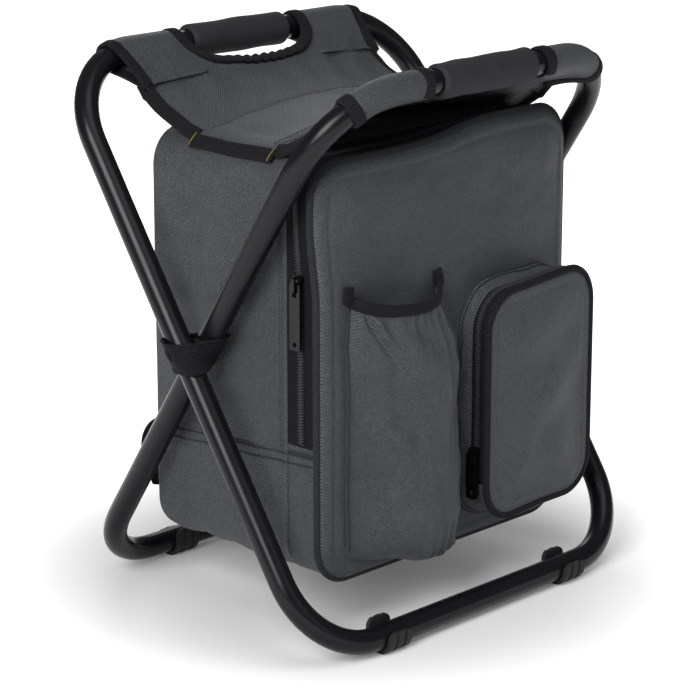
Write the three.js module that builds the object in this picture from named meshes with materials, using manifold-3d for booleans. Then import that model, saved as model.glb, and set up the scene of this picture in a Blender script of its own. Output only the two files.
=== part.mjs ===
// Folding cooler stool: two crossed tube loops, a sling seat and a zipped cool bag hung under it.
// Millimetres, +Z up, X along the bars, the bag's pockets at -Y. The feet stand on z = 0.
import * as THREE from 'three';
import { mergeVertices } from 'three/addons/utils/BufferGeometryUtils.js';
import Module from 'manifold-3d';

const wasm = await Module();
wasm.setup();

// Free space between pieces that touch
const FIT = 0.3;

// Frame loops
const TUBE_D = 18; // outside diameter of the frame tube
const TUBE_WALL = 1.2;
const OUTER_SPAN = 344; // outer loop, between the centre lines of its legs
const LEG_GAP = 4; // between the crossing legs
const LEG_LEAN = 33.2; // degrees from upright
const REACH_UP = 230; // pivot to top bar, along the leg
const REACH_DOWN = 237; // pivot to floor bar, along the leg
const TOP_BEND = 65; // bend radius at the top bars
const FLOOR_BEND = 60; // bend radius at the floor bars
const TUBE_SIDES = 14;
const BEND_STEPS = 8;

// Pivot rivets, spacers and webbing bands
const RIVET_D = 6;
const RIVET_HEAD_D = 8;
const RIVET_HEAD_T = 1.5;
const SPACER_D = 15;
const BAND_H = 24;
const BAND_T = 1.8;

// Saddle feet
const FOOT_SOLE = 3; // below the tube
const FOOT_FLAT = 0.5; // worn off the round ribs by the flat sole
const FOOT_RIB = 0.8; // height of a rib
const FOOT_RIB_W = 5;
const FOOT_RIBS = 3;
const FOOT_L = 22;
const FOOT_EAR = 2.2; // rise of the inner arm above the tube
const FOOT_LOW = 4; // drop of the outer arm below the tube's top
const FOOT_EAR_R = 6;
const FRONT_FOOT_X = 97;
const REAR_FOOT_X = 63;

// Foam hand grips
const GRIP_D = 25.5;
const GRIP_L = 98;
const GRIP_EDGE = 2;

// Sling seat
const SLEEVE_T = 1.6;
const CUTOUT_X = 61; // half width of the cut-out under a grip
const CUTOUT_DEPTH = 19;
const SLEEVE_SHORT = 45; // outer end of a sleeve, inside the outer legs' centre line
const SEAT_T = 2;
const SEAT_TUCK = 12; // ends of the cross seams, inside the bag's sides
const SEAM_Y = 39; // cross seams, from the middle
const SEAT_CROWN = 17; // rise of the seat between the bag's shoulders
const SEAT_SAG = 4; // sag of a slope between bar and seam
const SEAT_DIP = 47; // bag top below the top bars' centre line
const BINDING_W = 3.5;
const BINDING_T = 3;

// Cool bag
const BAG_PLAY = 2; // between the bag and the webbing bands
const BAG_BULGE = 3; // outward swell of each side
const BAG_FRONT = 98;
const BAG_REAR = 78;
const BAG_H = 309;
const BAG_R = 28;
const SKIN = 1.5; // fabric
const FOAM = 6; // insulation
const FOIL = 0.8; // liner
const PIPE_D = 4;
const PIPE_SET = 5; // front piping behind the face
const HINGE_GAP = 3; // between flap and floor along the flap's lower edge
const ZIP_LINE = 75.5;
const ZIP_END = 99; // zip ends above the bag's floor
const ZIP_TAPE_W = 13;
const ZIP_TAPE_T = 1.2;

// Bottle pocket
const POCKET_SPLIT = 12; // between the two pockets
const POCKET_GAP = 12;
const BOTTLE_MARGIN = 24; // from the bag's left edge
const BOTTLE_LOW = 8; // above the bag's floor
const BOTTLE_H = 203;
const BOTTLE_DIP = 16; // of the rim in the middle
const BOTTLE_BULGE = 27;
const RIM_H = 7;
const RIM_T = 3;

// Zip pocket
const POCKET_MARGIN = 3; // from the bag's right edge
const POCKET_LOW = 23; // above the bag's floor
const POCKET_H = 168;
const POCKET_R = 24;
const POCKET_DEPTH = 28;
const POCKET_LIP = 11; // zip line behind the pocket's face
const POCKET_ZIP_END = 28; // zip ends above the pocket's floor
const POCKET_TAPE_W = 5;
const POCKET_TAPE_T = 1;

// Zip sliders and pull tabs
const SLIDER_W = 9;
const SLIDER_L = 12;
const SLIDER_T = 2.5;
const BRIDGE_W = 3;
const BRIDGE_T = 1.6;
const BRIDGE_ROOM = 2.6; // under the bridge
const PULL_T = 1.8;
const PULL_BAR = 1.6; // cross bar under the bridge
const PULL_W = 10;
const PULL_EYE = 8; // length of the slot for the bridge
const PULL_RING = 2; // radius of the hole at the free end
const MAIN_PULL_L = 48;
const POCKET_PULL_L = 34;
const MAIN_SLIDER_UP = 120; // above the ends of the main zip
const POCKET_SLIDER_UP = 20; // above the ends of the pocket zip

// Shoulder straps on the back
const STRAP_X = 52;
const STRAP_TOP = 26; // below the bag's top
const STRAP_PAD_L = 162;
const STRAP_PAD_W = 46;
const STRAP_PAD_T = 9;
const STRAP_PAD_BOW = 8;
const BUCKLE_W = 30;
const BUCKLE_H = 20;
const BUCKLE_T = 4;
const BUCKLE_SLOT = 4;
const BUCKLE_BAR = 3;
const WEB_W = 22;
const WEB_T = 1.6;
const WEB_DROP = 66;
const WEB_OUT = 68; // sideways run of the lower webbing
const WEB_BOW = 55;
const WEB_TURN = 1.3; // above 1 the webbing leaves its buckle more steeply

// Sizes that follow from those above
const LEAN = THREE.MathUtils.degToRad(LEG_LEAN);
const TUBE_R = TUBE_D / 2;
const INNER_SPAN = OUTER_SPAN - 2 * (TUBE_D + LEG_GAP);
const PIVOT_Z = REACH_DOWN * Math.cos(LEAN) + TUBE_R + FOOT_SOLE;
const BAR_Y = REACH_UP * Math.sin(LEAN);
const BAR_Z = PIVOT_Z + REACH_UP * Math.cos(LEAN);
const FLOOR_BAR_Y = REACH_DOWN * Math.sin(LEAN);
const FLOOR_BAR_Z = PIVOT_Z - REACH_DOWN * Math.cos(LEAN);
const RIVET_IN = INNER_SPAN / 2 - TUBE_R - FIT;
const RIVET_OUT = OUTER_SPAN / 2 + TUBE_R + FIT;
const BAND_RY = TUBE_R / Math.cos(LEAN) + FIT; // inside the band, from a leg's centre line
const BAND_RX = (TUBE_R + RIVET_HEAD_T + 2 * FIT) / Math.sqrt(1 - (RIVET_HEAD_D / 2 / BAND_RY) ** 2);
const BAND_IN = INNER_SPAN / 2 - BAND_RX - BAND_T;
const SLEEVE_R = TUBE_R + FIT + SLEEVE_T;
const SLEEVE_END_X = OUTER_SPAN / 2 - SLEEVE_SHORT;
const BAG_HALF = BAND_IN - BAG_PLAY - Math.max(BAG_BULGE, PIPE_D + FIT);
const WAIST_X = BAG_HALF - SEAT_TUCK; // half width of the seat at its cross seams
const BAG_TOP = BAR_Z - SEAT_DIP;
const BAG_FLOOR = BAG_TOP - BAG_H;
const FACE_Y = -BAG_FRONT;
const BACK_Y = BAG_REAR;
const ZIP_Y = -ZIP_LINE;
const FOAM_IN = SKIN + FIT;
const FOIL_IN = FOAM_IN + FOAM + FIT;

// Materials
const paint = new THREE.MeshStandardMaterial({ color: 0x1b1b20, roughness: 0.35, metalness: 0.3 });
const steel = new THREE.MeshStandardMaterial({ color: 0x8d9095, roughness: 0.4, metalness: 1 });
const rubber = new THREE.MeshStandardMaterial({ color: 0x141416, roughness: 0.6, metalness: 0 });
const sponge = new THREE.MeshStandardMaterial({ color: 0x2a2b2e, roughness: 0.9, metalness: 0 });
const cloth = new THREE.MeshStandardMaterial({ color: 0x4d5157, roughness: 0.9, metalness: 0 });
const tape = new THREE.MeshStandardMaterial({ color: 0x17181a, roughness: 0.8, metalness: 0 });
const nylon = new THREE.MeshStandardMaterial({ color: 0x18181a, roughness: 0.5, metalness: 0 });
const padding = new THREE.MeshStandardMaterial({ color: 0xd8dad8, roughness: 0.9, metalness: 0 });
const foil = new THREE.MeshStandardMaterial({ color: 0xc9ccd0, roughness: 0.35, metalness: 0.4 });

const stool = new THREE.Group();

// Adds one named piece to a group
function add(name, geometry, material, parent = stool) {
  const bare = geometry.clone();
  bare.deleteAttribute('normal');
  bare.deleteAttribute('uv');
  const mesh = new THREE.Mesh(mergeVertices(bare, 1e-4), material);
  mesh.name = name;
  parent.add(mesh);
  return mesh;
}

// Joins and cuts
function toSolid(geometry) {
  const bare = geometry.clone();
  bare.deleteAttribute('normal');
  bare.deleteAttribute('uv');
  const merged = mergeVertices(bare, 1e-4);
  const vertProperties = new Float32Array(merged.attributes.position.array);
  const triVerts = new Uint32Array(merged.index.array);
  return new wasm.Manifold(new wasm.Mesh({ numProp: 3, vertProperties, triVerts }));
}

function toGeometry(solid) {
  const mesh = solid.getMesh();
  const geometry = new THREE.BufferGeometry();
  geometry.setAttribute('position', new THREE.BufferAttribute(mesh.vertProperties, 3));
  geometry.setIndex(new THREE.BufferAttribute(mesh.triVerts, 1));
  return geometry;
}

function join(first, ...rest) {
  return toGeometry(rest.reduce((all, piece) => all.add(toSolid(piece)), toSolid(first)));
}

function cut(first, ...rest) {
  return toGeometry(rest.reduce((all, piece) => all.subtract(toSolid(piece)), toSolid(first)));
}

function overlap(first, second) {
  return toGeometry(toSolid(first).intersect(toSolid(second)));
}

// Closed mesh from points and faces, turned so that its faces point out
function closedMesh(points, faces) {
  let volume = 0;
  for (let i = 0; i < faces.length; i += 3) {
    const [a, b, c] = [points[faces[i]], points[faces[i + 1]], points[faces[i + 2]]];
    volume += a.dot(b.clone().cross(c));
  }
  if (volume < 0) faces.reverse();
  const geometry = new THREE.BufferGeometry().setFromPoints(points);
  geometry.setIndex(faces);
  return geometry;
}

// Sheet of material between two surfaces over the same grid; a wrapped sheet closes round into a tube
function sheet(across, along, outer, inner, wrapped = false) {
  const columns = wrapped ? across : across + 1;
  const points = [];
  for (const surface of [outer, inner]) {
    for (let j = 0; j <= along; j++) {
      for (let i = 0; i < columns; i++) points.push(surface(i, j));
    }
  }
  const at = (side, i, j) => (side * (along + 1) + j) * columns + (i % columns);
  const faces = [];
  const quad = (a, b, c, d) => faces.push(a, b, c, a, c, d);
  for (let j = 0; j < along; j++) {
    for (let i = 0; i < across; i++) {
      quad(at(0, i, j), at(0, i + 1, j), at(0, i + 1, j + 1), at(0, i, j + 1));
      quad(at(1, i, j), at(1, i, j + 1), at(1, i + 1, j + 1), at(1, i + 1, j));
    }
  }
  for (let i = 0; i < across; i++) {
    quad(at(0, i, 0), at(1, i, 0), at(1, i + 1, 0), at(0, i + 1, 0));
    quad(at(0, i, along), at(0, i + 1, along), at(1, i + 1, along), at(1, i, along));
  }
  for (let j = 0; j < along && !wrapped; j++) {
    quad(at(0, 0, j), at(0, 0, j + 1), at(1, 0, j + 1), at(1, 0, j));
    quad(at(0, across, j), at(1, across, j), at(1, across, j + 1), at(0, across, j + 1));
  }
  return closedMesh(points, faces);
}

// Round tube along a closed flat path of stations {x, z, nx, nz}
function ringTube(path, radius, sides, y = 0) {
  const points = [];
  for (const p of path) {
    for (let i = 0; i < sides; i++) {
      const a = (i / sides) * 2 * Math.PI;
      const r = radius * Math.cos(a);
      points.push(new THREE.Vector3(p.x + r * p.nx, y + radius * Math.sin(a), p.z + r * p.nz));
    }
  }
  const at = (i, j) => (j % path.length) * sides + (i % sides);
  const faces = [];
  for (let j = 0; j < path.length; j++) {
    for (let i = 0; i < sides; i++) {
      faces.push(at(i, j), at(i + 1, j), at(i + 1, j + 1), at(i, j), at(i + 1, j + 1), at(i, j + 1));
    }
  }
  return closedMesh(points, faces);
}

// Round piece turned about the X axis from a profile of [radius, x] corners
function turned(profile, sides) {
  const points = profile.map(([r, x]) => new THREE.Vector2(r, x));
  return new THREE.LatheGeometry(points, sides).rotateZ(-Math.PI / 2);
}

// Rectangle with round corners
function roundRect(target, x0, y0, x1, y1, r) {
  target.moveTo(x0 + r, y0);
  target.lineTo(x1 - r, y0);
  target.absarc(x1 - r, y0 + r, r, -Math.PI / 2, 0, false);
  target.lineTo(x1, y1 - r);
  target.absarc(x1 - r, y1 - r, r, 0, Math.PI / 2, false);
  target.lineTo(x0 + r, y1);
  target.absarc(x0 + r, y1 - r, r, Math.PI / 2, Math.PI, false);
  target.lineTo(x0, y0 + r);
  target.absarc(x0 + r, y0 + r, r, Math.PI, 1.5 * Math.PI, false);
  return target;
}

function extrude(shape, depth, curveSegments = 4) {
  return new THREE.ExtrudeGeometry(shape, { depth, bevelEnabled: false, curveSegments });
}

// Turns an extrusion so that its drawing plane becomes YZ and its depth runs along X
function alongX(geometry) {
  const axes = new THREE.Matrix4().makeBasis(
    new THREE.Vector3(0, 1, 0),
    new THREE.Vector3(0, 0, 1),
    new THREE.Vector3(1, 0, 0),
  );
  return geometry.applyMatrix4(axes);
}

// Frame loops, drawn flat about the pivot and then leaned over
function loopPath(span) {
  const top = span / 2 - TOP_BEND;
  const low = span / 2 - FLOOR_BEND;
  const corners = [
    [top, REACH_UP - TOP_BEND, TOP_BEND, 0],
    [-top, REACH_UP - TOP_BEND, TOP_BEND, 0.5],
    [-low, FLOOR_BEND - REACH_DOWN, FLOOR_BEND, 1],
    [low, FLOOR_BEND - REACH_DOWN, FLOOR_BEND, 1.5],
  ];
  const path = [];
  for (const [x, z, r, turn] of corners) {
    for (let i = 0; i <= BEND_STEPS; i++) {
      const a = Math.PI * (turn + i / BEND_STEPS / 2);
      const [nx, nz] = [Math.cos(a), Math.sin(a)];
      path.push({ x: x + r * nx, z: z + r * nz, nx, nz });
    }
  }
  return path;
}

function frameTube(span) {
  const path = loopPath(span);
  const hole = turned([[0, -span], [RIVET_D / 2 + FIT, -span], [RIVET_D / 2 + FIT, span], [0, span]], 10);
  const bore = ringTube(path, TUBE_R - TUBE_WALL, 8);
  return cut(ringTube(path, TUBE_R, TUBE_SIDES), bore, hole);
}

// Fabric sleeve on one half of a top bar, from the cut-out to its end on the bend
function sleeve(span, side) {
  const bend = loopPath(span).slice(0, BEND_STEPS + 1).reverse();
  const stops = [{ x: CUTOUT_X, z: REACH_UP, nx: 0, nz: 1 }];
  for (const next of bend) {
    const last = stops[stops.length - 1];
    const share = Math.min(1, (SLEEVE_END_X - last.x) / (next.x - last.x));
    const between = (key) => THREE.MathUtils.lerp(last[key], next[key], share);
    stops.push({ x: between('x'), z: between('z'), nx: between('nx'), nz: between('nz') });
    if (share < 1) break;
  }
  const surface = (radius) => (i, j) => {
    const { x, z, nx, nz } = stops[j];
    const a = (i / TUBE_SIDES) * 2 * Math.PI;
    const out = radius * Math.cos(a);
    return new THREE.Vector3(side * (x + out * nx), radius * Math.sin(a), z + out * nz);
  };
  return sheet(TUBE_SIDES, stops.length - 1, surface(SLEEVE_R), surface(TUBE_R + FIT), true);
}

function grip() {
  const [r, h] = [GRIP_D / 2, GRIP_L / 2];
  const bore = TUBE_R + FIT;
  const profile = [[bore, -h], [r - GRIP_EDGE, -h], [r, GRIP_EDGE - h], [r, h - GRIP_EDGE]];
  profile.push([r - GRIP_EDGE, h], [bore, h], [bore, -h]);
  return turned(profile, 18).translate(0, 0, REACH_UP);
}

const outerFrame = new THREE.Group();
outerFrame.position.z = PIVOT_Z;
outerFrame.rotation.x = -LEAN;
const innerFrame = new THREE.Group();
innerFrame.position.z = PIVOT_Z;
innerFrame.rotation.x = LEAN;
stool.add(outerFrame, innerFrame);

add('outer_frame_tube', frameTube(OUTER_SPAN), paint, outerFrame);
add('inner_frame_tube', frameTube(INNER_SPAN), paint, innerFrame);
add('grip_rear', grip(), sponge, outerFrame);
add('grip_front', grip(), sponge, innerFrame);
add('sleeve_rear_left', sleeve(OUTER_SPAN, -1), cloth, outerFrame);
add('sleeve_rear_right', sleeve(OUTER_SPAN, 1), cloth, outerFrame);
add('sleeve_front_left', sleeve(INNER_SPAN, -1), cloth, innerFrame);
add('sleeve_front_right', sleeve(INNER_SPAN, 1), cloth, innerFrame);

// Rivets, spacers and webbing bands at the crossing
function rivet() {
  const [r, head, dome] = [RIVET_D / 2, RIVET_HEAD_D / 2, RIVET_HEAD_D / 3];
  const profile = [[0, RIVET_IN - RIVET_HEAD_T], [dome, RIVET_IN - RIVET_HEAD_T]];
  profile.push([head, RIVET_IN - RIVET_HEAD_T / 2], [head, RIVET_IN], [r, RIVET_IN], [r, RIVET_OUT]);
  profile.push([head, RIVET_OUT], [head, RIVET_OUT + RIVET_HEAD_T / 2]);
  profile.push([dome, RIVET_OUT + RIVET_HEAD_T], [0, RIVET_OUT + RIVET_HEAD_T]);
  return turned(profile, 12);
}

function spacer() {
  const [x0, x1] = [INNER_SPAN / 2 + TUBE_R + FIT, OUTER_SPAN / 2 - TUBE_R - FIT];
  const [r0, r1] = [RIVET_D / 2 + FIT, SPACER_D / 2];
  return turned([[r0, x0], [r1, x0], [r1, x1], [r0, x1], [r0, x0]], 14);
}

// Webbing wound tightly round both legs, so its outline twists with the height above the pivot
function band(side) {
  const [sides, rows] = [24, 4];
  const surface = (thickness) => (i, j) => {
    const z = BAND_H * (j / rows - 0.5);
    const a = (i / sides) * 2 * Math.PI;
    const [rx, ry] = [BAND_RX + thickness, BAND_RY + thickness];
    const [nx, ny] = [Math.cos(a), Math.sin(a)];
    const reach = Math.hypot(rx * nx, ry * ny);
    const away = side * z * Math.tan(LEAN);
    const outer = (OUTER_SPAN / 2) * nx + away * ny > (INNER_SPAN / 2) * nx - away * ny;
    const x = (outer ? OUTER_SPAN / 2 : INNER_SPAN / 2) + (rx * rx * nx) / reach;
    const y = (outer ? away : -away) + (ry * ry * ny) / reach;
    return new THREE.Vector3(x, y, z);
  };
  return sheet(sides, rows, surface(BAND_T), surface(0), true);
}

for (const [name, turn, side] of [['right', 0, 1], ['left', Math.PI, -1]]) {
  const crossing = new THREE.Group();
  crossing.position.z = PIVOT_Z;
  crossing.rotation.z = turn;
  stool.add(crossing);
  add(`rivet_${name}`, rivet(), steel, crossing);
  add(`spacer_${name}`, spacer(), nylon, crossing);
  add(`band_${name}`, band(side), tape, crossing);
}

// Saddle feet: a ribbed channel clipped round the floor bar, its inner arm higher, with a flat sole
const INNER_ARM = TUBE_R + FOOT_EAR;
const OUTER_ARM = TUBE_R - FOOT_LOW;

function saddle(radius, length) {
  const bore = TUBE_R + FIT;
  const shape = new THREE.Shape();
  shape.moveTo(radius, INNER_ARM);
  shape.lineTo(bore, INNER_ARM);
  shape.lineTo(bore, 0);
  shape.absarc(0, 0, bore, 0, Math.PI, true);
  shape.lineTo(-bore, OUTER_ARM);
  shape.lineTo(-radius, OUTER_ARM);
  shape.lineTo(-radius, 0);
  shape.absarc(0, 0, radius, Math.PI, 2 * Math.PI, false);
  return alongX(extrude(shape, length, 4)).translate(-length / 2, 0, 0);
}

// Side view of one arm: flat below, round at its upper corners
function armBlank(top, depth) {
  const sole = -TUBE_R - FOOT_SOLE;
  const side = new THREE.Shape();
  side.moveTo(-FOOT_L, sole);
  side.lineTo(FOOT_L, sole);
  side.lineTo(FOOT_L / 2, top - FOOT_EAR_R);
  side.absarc(FOOT_L / 2 - FOOT_EAR_R, top - FOOT_EAR_R, FOOT_EAR_R, 0, Math.PI / 2, false);
  side.absarc(FOOT_EAR_R - FOOT_L / 2, top - FOOT_EAR_R, FOOT_EAR_R, Math.PI / 2, Math.PI, false);
  return extrude(side, depth, 2).rotateX(Math.PI / 2);
}

function foot() {
  const rib = TUBE_R + FOOT_SOLE + FOOT_FLAT;
  const step = (FOOT_L - FOOT_RIB_W) / (FOOT_RIBS - 1);
  const ribs = [];
  for (let i = 0; i < FOOT_RIBS; i++) {
    ribs.push(saddle(rib, FOOT_RIB_W).translate((i - (FOOT_RIBS - 1) / 2) * step, 0, 0));
  }
  const ribbed = join(saddle(rib - FOOT_RIB, FOOT_L), ...ribs);
  const inner = armBlank(INNER_ARM, 2 * rib).translate(0, 2 * rib, 0);
  const outer = armBlank(OUTER_ARM, 2 * rib).translate(0, FIT, 0);
  return overlap(ribbed, join(inner, outer));
}

for (const [name, x, y, turn] of [
  ['front_left', -FRONT_FOOT_X, -FLOOR_BAR_Y, 0],
  ['front_right', FRONT_FOOT_X, -FLOOR_BAR_Y, 0],
  ['rear_left', -REAR_FOOT_X, FLOOR_BAR_Y, Math.PI],
  ['rear_right', REAR_FOOT_X, FLOOR_BAR_Y, Math.PI],
]) {
  const saddleFoot = add(`foot_${name}`, foot(), rubber);
  saddleFoot.position.set(x, y, FLOOR_BAR_Z);
  saddleFoot.rotation.z = turn;
}

// Round-cornered outline of the bag or a pocket. Its place k counts nine stretches from the middle of
// the lower side: straight, corner, side, corner, top, corner, side, corner, straight.
function outline(middle, half, low, high, radius) {
  const flat = half - radius;
  const rise = high - low - 2 * radius;
  const corner = (x, z, turn, inset) => {
    const [nx, nz] = [Math.cos(turn), Math.sin(turn)];
    return { x: middle + x + (radius - inset) * nx, z: z + (radius - inset) * nz, nx, nz };
  };
  return (k, inset = 0) => {
    const i = Math.min(8, Math.floor(k));
    const f = k - i;
    const quarter = (f * Math.PI) / 2;
    if (i === 0) return { x: middle + f * flat, z: low + inset, nx: 0, nz: -1 };
    if (i === 1) return corner(flat, low + radius, quarter - Math.PI / 2, inset);
    if (i === 2) return { x: middle + half - inset, z: low + radius + f * rise, nx: 1, nz: 0 };
    if (i === 3) return corner(flat, high - radius, quarter, inset);
    if (i === 4) return { x: middle + flat * (1 - 2 * f), z: high - inset, nx: 0, nz: 1 };
    if (i === 5) return corner(-flat, high - radius, quarter + Math.PI / 2, inset);
    if (i === 6) return { x: middle - half + inset, z: high - radius - f * rise, nx: -1, nz: 0 };
    if (i === 7) return corner(-flat, low + radius, quarter + Math.PI, inset);
    return { x: middle - flat * (1 - f), z: low + inset, nx: 0, nz: -1 };
  };
}

// Places along an outline from k0 to k1, closer together in the corners
function places(k0, k1, straight = 1, extra = []) {
  const list = [k0, k1, ...extra];
  for (let i = Math.floor(k0); i < k1; i++) {
    const steps = i % 2 ? 4 : straight;
    for (let j = 0; j < steps; j++) list.push(i + j / steps);
  }
  const inside = list.filter((k) => k >= k0 && k <= k1).sort((a, b) => a - b);
  return inside.filter((k, i) => i === 0 || k - inside[i - 1] > 1e-6);
}

// Swell of the bag's sides, which begins behind the zip
const SWELL_Y = ZIP_Y + ZIP_TAPE_W + 2 * FIT;

function swell(k, y) {
  const depth = THREE.MathUtils.clamp((y - SWELL_Y) / (BACK_Y - SWELL_Y), 0, 1);
  const side = Math.floor(k) === 2 || Math.floor(k) === 6;
  return side ? BAG_BULGE * Math.sin(Math.PI * (k % 1)) * Math.sin(Math.PI * depth) : 0;
}

// Wall that follows an outline between two insets, from its front edge back over some rows
function wall(shape, ks, front, rows, outside, inside, bulge = () => 0) {
  const closed = ks[ks.length - 1] - ks[0] === 9;
  const surface = (inset) => (i, j) => {
    const k = ks[i % ks.length];
    const y = j ? rows[j - 1] : front(k);
    const p = shape(k, inset);
    return new THREE.Vector3(p.x + p.nx * bulge(k, y), y, p.z);
  };
  return sheet(ks.length - 1, rows.length, surface(outside), surface(inside), closed);
}

// Flat panel inside an outline, from a front depth towards the back
function panel(shape, inset, front, thickness) {
  const points = places(0, 9).slice(0, -1).map((k) => {
    const p = shape(k, inset);
    return new THREE.Vector2(p.x, p.z);
  });
  return extrude(new THREE.Shape(points), thickness).rotateX(Math.PI / 2).translate(0, front + thickness, 0);
}

function pipeRing(shape, y) {
  const r = PIPE_D / 2;
  const path = places(0, 9).slice(0, -1).map((k) => shape(k, -r - FIT));
  return ringTube(path, r, 6, y);
}

const bag = outline(0, BAG_HALF, BAG_FLOOR, BAG_TOP, BAG_R);
const zipK = 2 + (ZIP_END - BAG_R) / (BAG_H - 2 * BAG_R);
const SEW = 0.2; // panels sit this far inside the ends of their walls

// Bag body: skin, foam and foil, each a tub open at the front
function tub(inset, thickness, front, back) {
  const ks = places(0, 9, 3, [0.97, 8.03]);
  const deepest = BACK_Y - FOIL_IN - 2 * SEW;
  const rows = [0, 1 / 3, 2 / 3, 1].map((share) => THREE.MathUtils.lerp(SWELL_Y, deepest, share));
  if (back > deepest) rows.push(back);
  const ring = wall(bag, ks, front, rows, inset, inset + thickness, swell);
  return join(ring, panel(bag, inset + thickness / 2, back - thickness - SEW, thickness));
}

const overFloor = (k) => (k <= 0.97 || k >= 8.03 ? FACE_Y + HINGE_GAP : ZIP_Y + FIT);
const toZip = () => ZIP_Y + FIT;
add('bag_shell', tub(0, SKIN, overFloor, BACK_Y), cloth);
add('bag_insulation', tub(FOAM_IN, FOAM, toZip, BACK_Y - FOAM_IN - SEW), padding);
add('bag_liner', tub(FOIL_IN, FOIL, toZip, BACK_Y - FOIL_IN - 2 * SEW), foil);

// Front flap: skin, foam and foil, each a panel with a rim back to the zip
function lid(inset, thickness) {
  const face = FACE_Y + inset;
  const rim = wall(bag, places(zipK, 9 - zipK), () => face + SEW, [ZIP_Y - FIT], inset, inset + thickness);
  return join(rim, panel(bag, inset + thickness / 2, face, thickness));
}

add('front_panel', lid(0, SKIN), cloth);
add('front_insulation', lid(FOAM_IN, FOAM), padding);
add('front_liner', lid(FOIL_IN, FOIL), foil);
add('front_piping', pipeRing(bag, FACE_Y + PIPE_SET), tape);

// Gussets below the ends of the main zip
const gussetTop = zipK - FIT / (BAG_H - 2 * BAG_R);
for (const [name, k0, k1] of [['right', 1.03, gussetTop], ['left', 9 - gussetTop, 7.97]]) {
  const front = () => FACE_Y + SKIN + FIT;
  add(`gusset_${name}`, wall(bag, places(k0, k1), front, [ZIP_Y], 0, SKIN), cloth);
}

// Main zip, one half on the body and one on the flap
const zipPlaces = places(zipK, 9 - zipK);
const zipHalf = (front, rear) => wall(bag, zipPlaces, () => front, [rear], -FIT - ZIP_TAPE_T, -FIT);
add('main_zip_rear', zipHalf(ZIP_Y + FIT, ZIP_Y + FIT + ZIP_TAPE_W), tape);
add('main_zip_front', zipHalf(ZIP_Y - FIT - ZIP_TAPE_W, ZIP_Y - FIT), tape);

// Bottle pocket: a fabric sheet that swells out from the panel and closes to it at the floor
const bottleX0 = BOTTLE_MARGIN - BAG_HALF;
const bottleX1 = POCKET_SPLIT - POCKET_GAP;
const bottleZ = BAG_FLOOR + BOTTLE_LOW;

function bottleSurface(thickness, lift) {
  return (i, j) => {
    const across = (i / 16) * 2 - 1;
    const v = j / 9;
    const x = (bottleX0 + bottleX1) / 2 + (across * (bottleX1 - bottleX0)) / 2;
    const dip = BOTTLE_DIP * (1 - across * across);
    const out = BOTTLE_BULGE * (1 - Math.abs(across) ** 2.4);
    const open = Math.sin((Math.PI / 2) * Math.min(1, v / 0.2));
    const z = lift === undefined ? bottleZ + v * (BOTTLE_H - dip) : bottleZ + BOTTLE_H - dip + lift[j];
    const shape = lift === undefined ? open : 1;
    return new THREE.Vector3(x, FACE_Y - FIT - thickness - out * shape, z);
  };
}

const rimLift = [FIT, FIT + RIM_H];
add('bottle_pocket', sheet(16, 9, bottleSurface(SKIN), bottleSurface(0)), cloth);
add('bottle_pocket_rim', sheet(16, 1, bottleSurface(RIM_T, rimLift), bottleSurface(0, rimLift)), tape);

// Zip pocket: gusset walls, a face with its own lip, and a zip between them
const pocketX0 = POCKET_SPLIT;
const pocketX1 = BAG_HALF - POCKET_MARGIN;
const pocketLow = BAG_FLOOR + POCKET_LOW;
const pocket = outline(
  (pocketX0 + pocketX1) / 2, (pocketX1 - pocketX0) / 2, pocketLow, pocketLow + POCKET_H, POCKET_R,
);
const pocketFace = FACE_Y - FIT - POCKET_DEPTH;
const pocketZip = pocketFace + POCKET_LIP;
const pocketK = 2 + (POCKET_ZIP_END - POCKET_R) / (POCKET_H - 2 * POCKET_R);
const pocketRound = places(0, 9);
add('pocket_gusset', wall(pocket, pocketRound, () => pocketZip + FIT, [FACE_Y - FIT], 0, SKIN), cloth);
const pocketLip = wall(pocket, pocketRound, () => pocketFace + SEW, [pocketZip - FIT], 0, SKIN);
add('pocket_front', join(pocketLip, panel(pocket, SKIN / 2, pocketFace, SKIN)), cloth);
const pocketTape = (front, rear) => {
  return wall(pocket, places(pocketK, 9 - pocketK), () => front, [rear], -FIT - POCKET_TAPE_T, -FIT);
};
add('pocket_zip_rear', pocketTape(pocketZip + FIT, pocketZip + FIT + POCKET_TAPE_W), tape);
add('pocket_zip_front', pocketTape(pocketZip - FIT - POCKET_TAPE_W, pocketZip - FIT), tape);

// Zip slider with a bridge, drawn on the tape at x = 0 with its outside towards +X
function slider() {
  const [w, h] = [SLIDER_W / 2, SLIDER_L / 2];
  const body = new THREE.Shape();
  body.moveTo(-w / 2, -h);
  body.lineTo(w / 2, -h);
  body.quadraticCurveTo(w * 0.7, 0, w, h / 2);
  body.quadraticCurveTo(w, h, w / 2, h);
  body.lineTo(-w / 2, h);
  body.quadraticCurveTo(-w, h, -w, h / 2);
  body.quadraticCurveTo(-w * 0.7, 0, -w / 2, -h);
  const top = FIT + SLIDER_T;
  const span = h - BRIDGE_T / 3;
  const bridge = new THREE.Shape();
  roundRect(bridge, top - SLIDER_T / 2, -span, top + BRIDGE_ROOM + BRIDGE_T, span, BRIDGE_T / 2);
  const room = new THREE.Path();
  roundRect(room, top, BRIDGE_T - span, top + BRIDGE_ROOM, span - BRIDGE_T, BRIDGE_T / 4);
  bridge.holes.push(room);
  const plate = alongX(extrude(body, SLIDER_T)).translate(FIT, 0, 0);
  const arch = extrude(bridge, BRIDGE_W, 3).rotateX(Math.PI / 2).translate(0, BRIDGE_W / 2, 0);
  return join(plate, arch);
}

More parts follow.
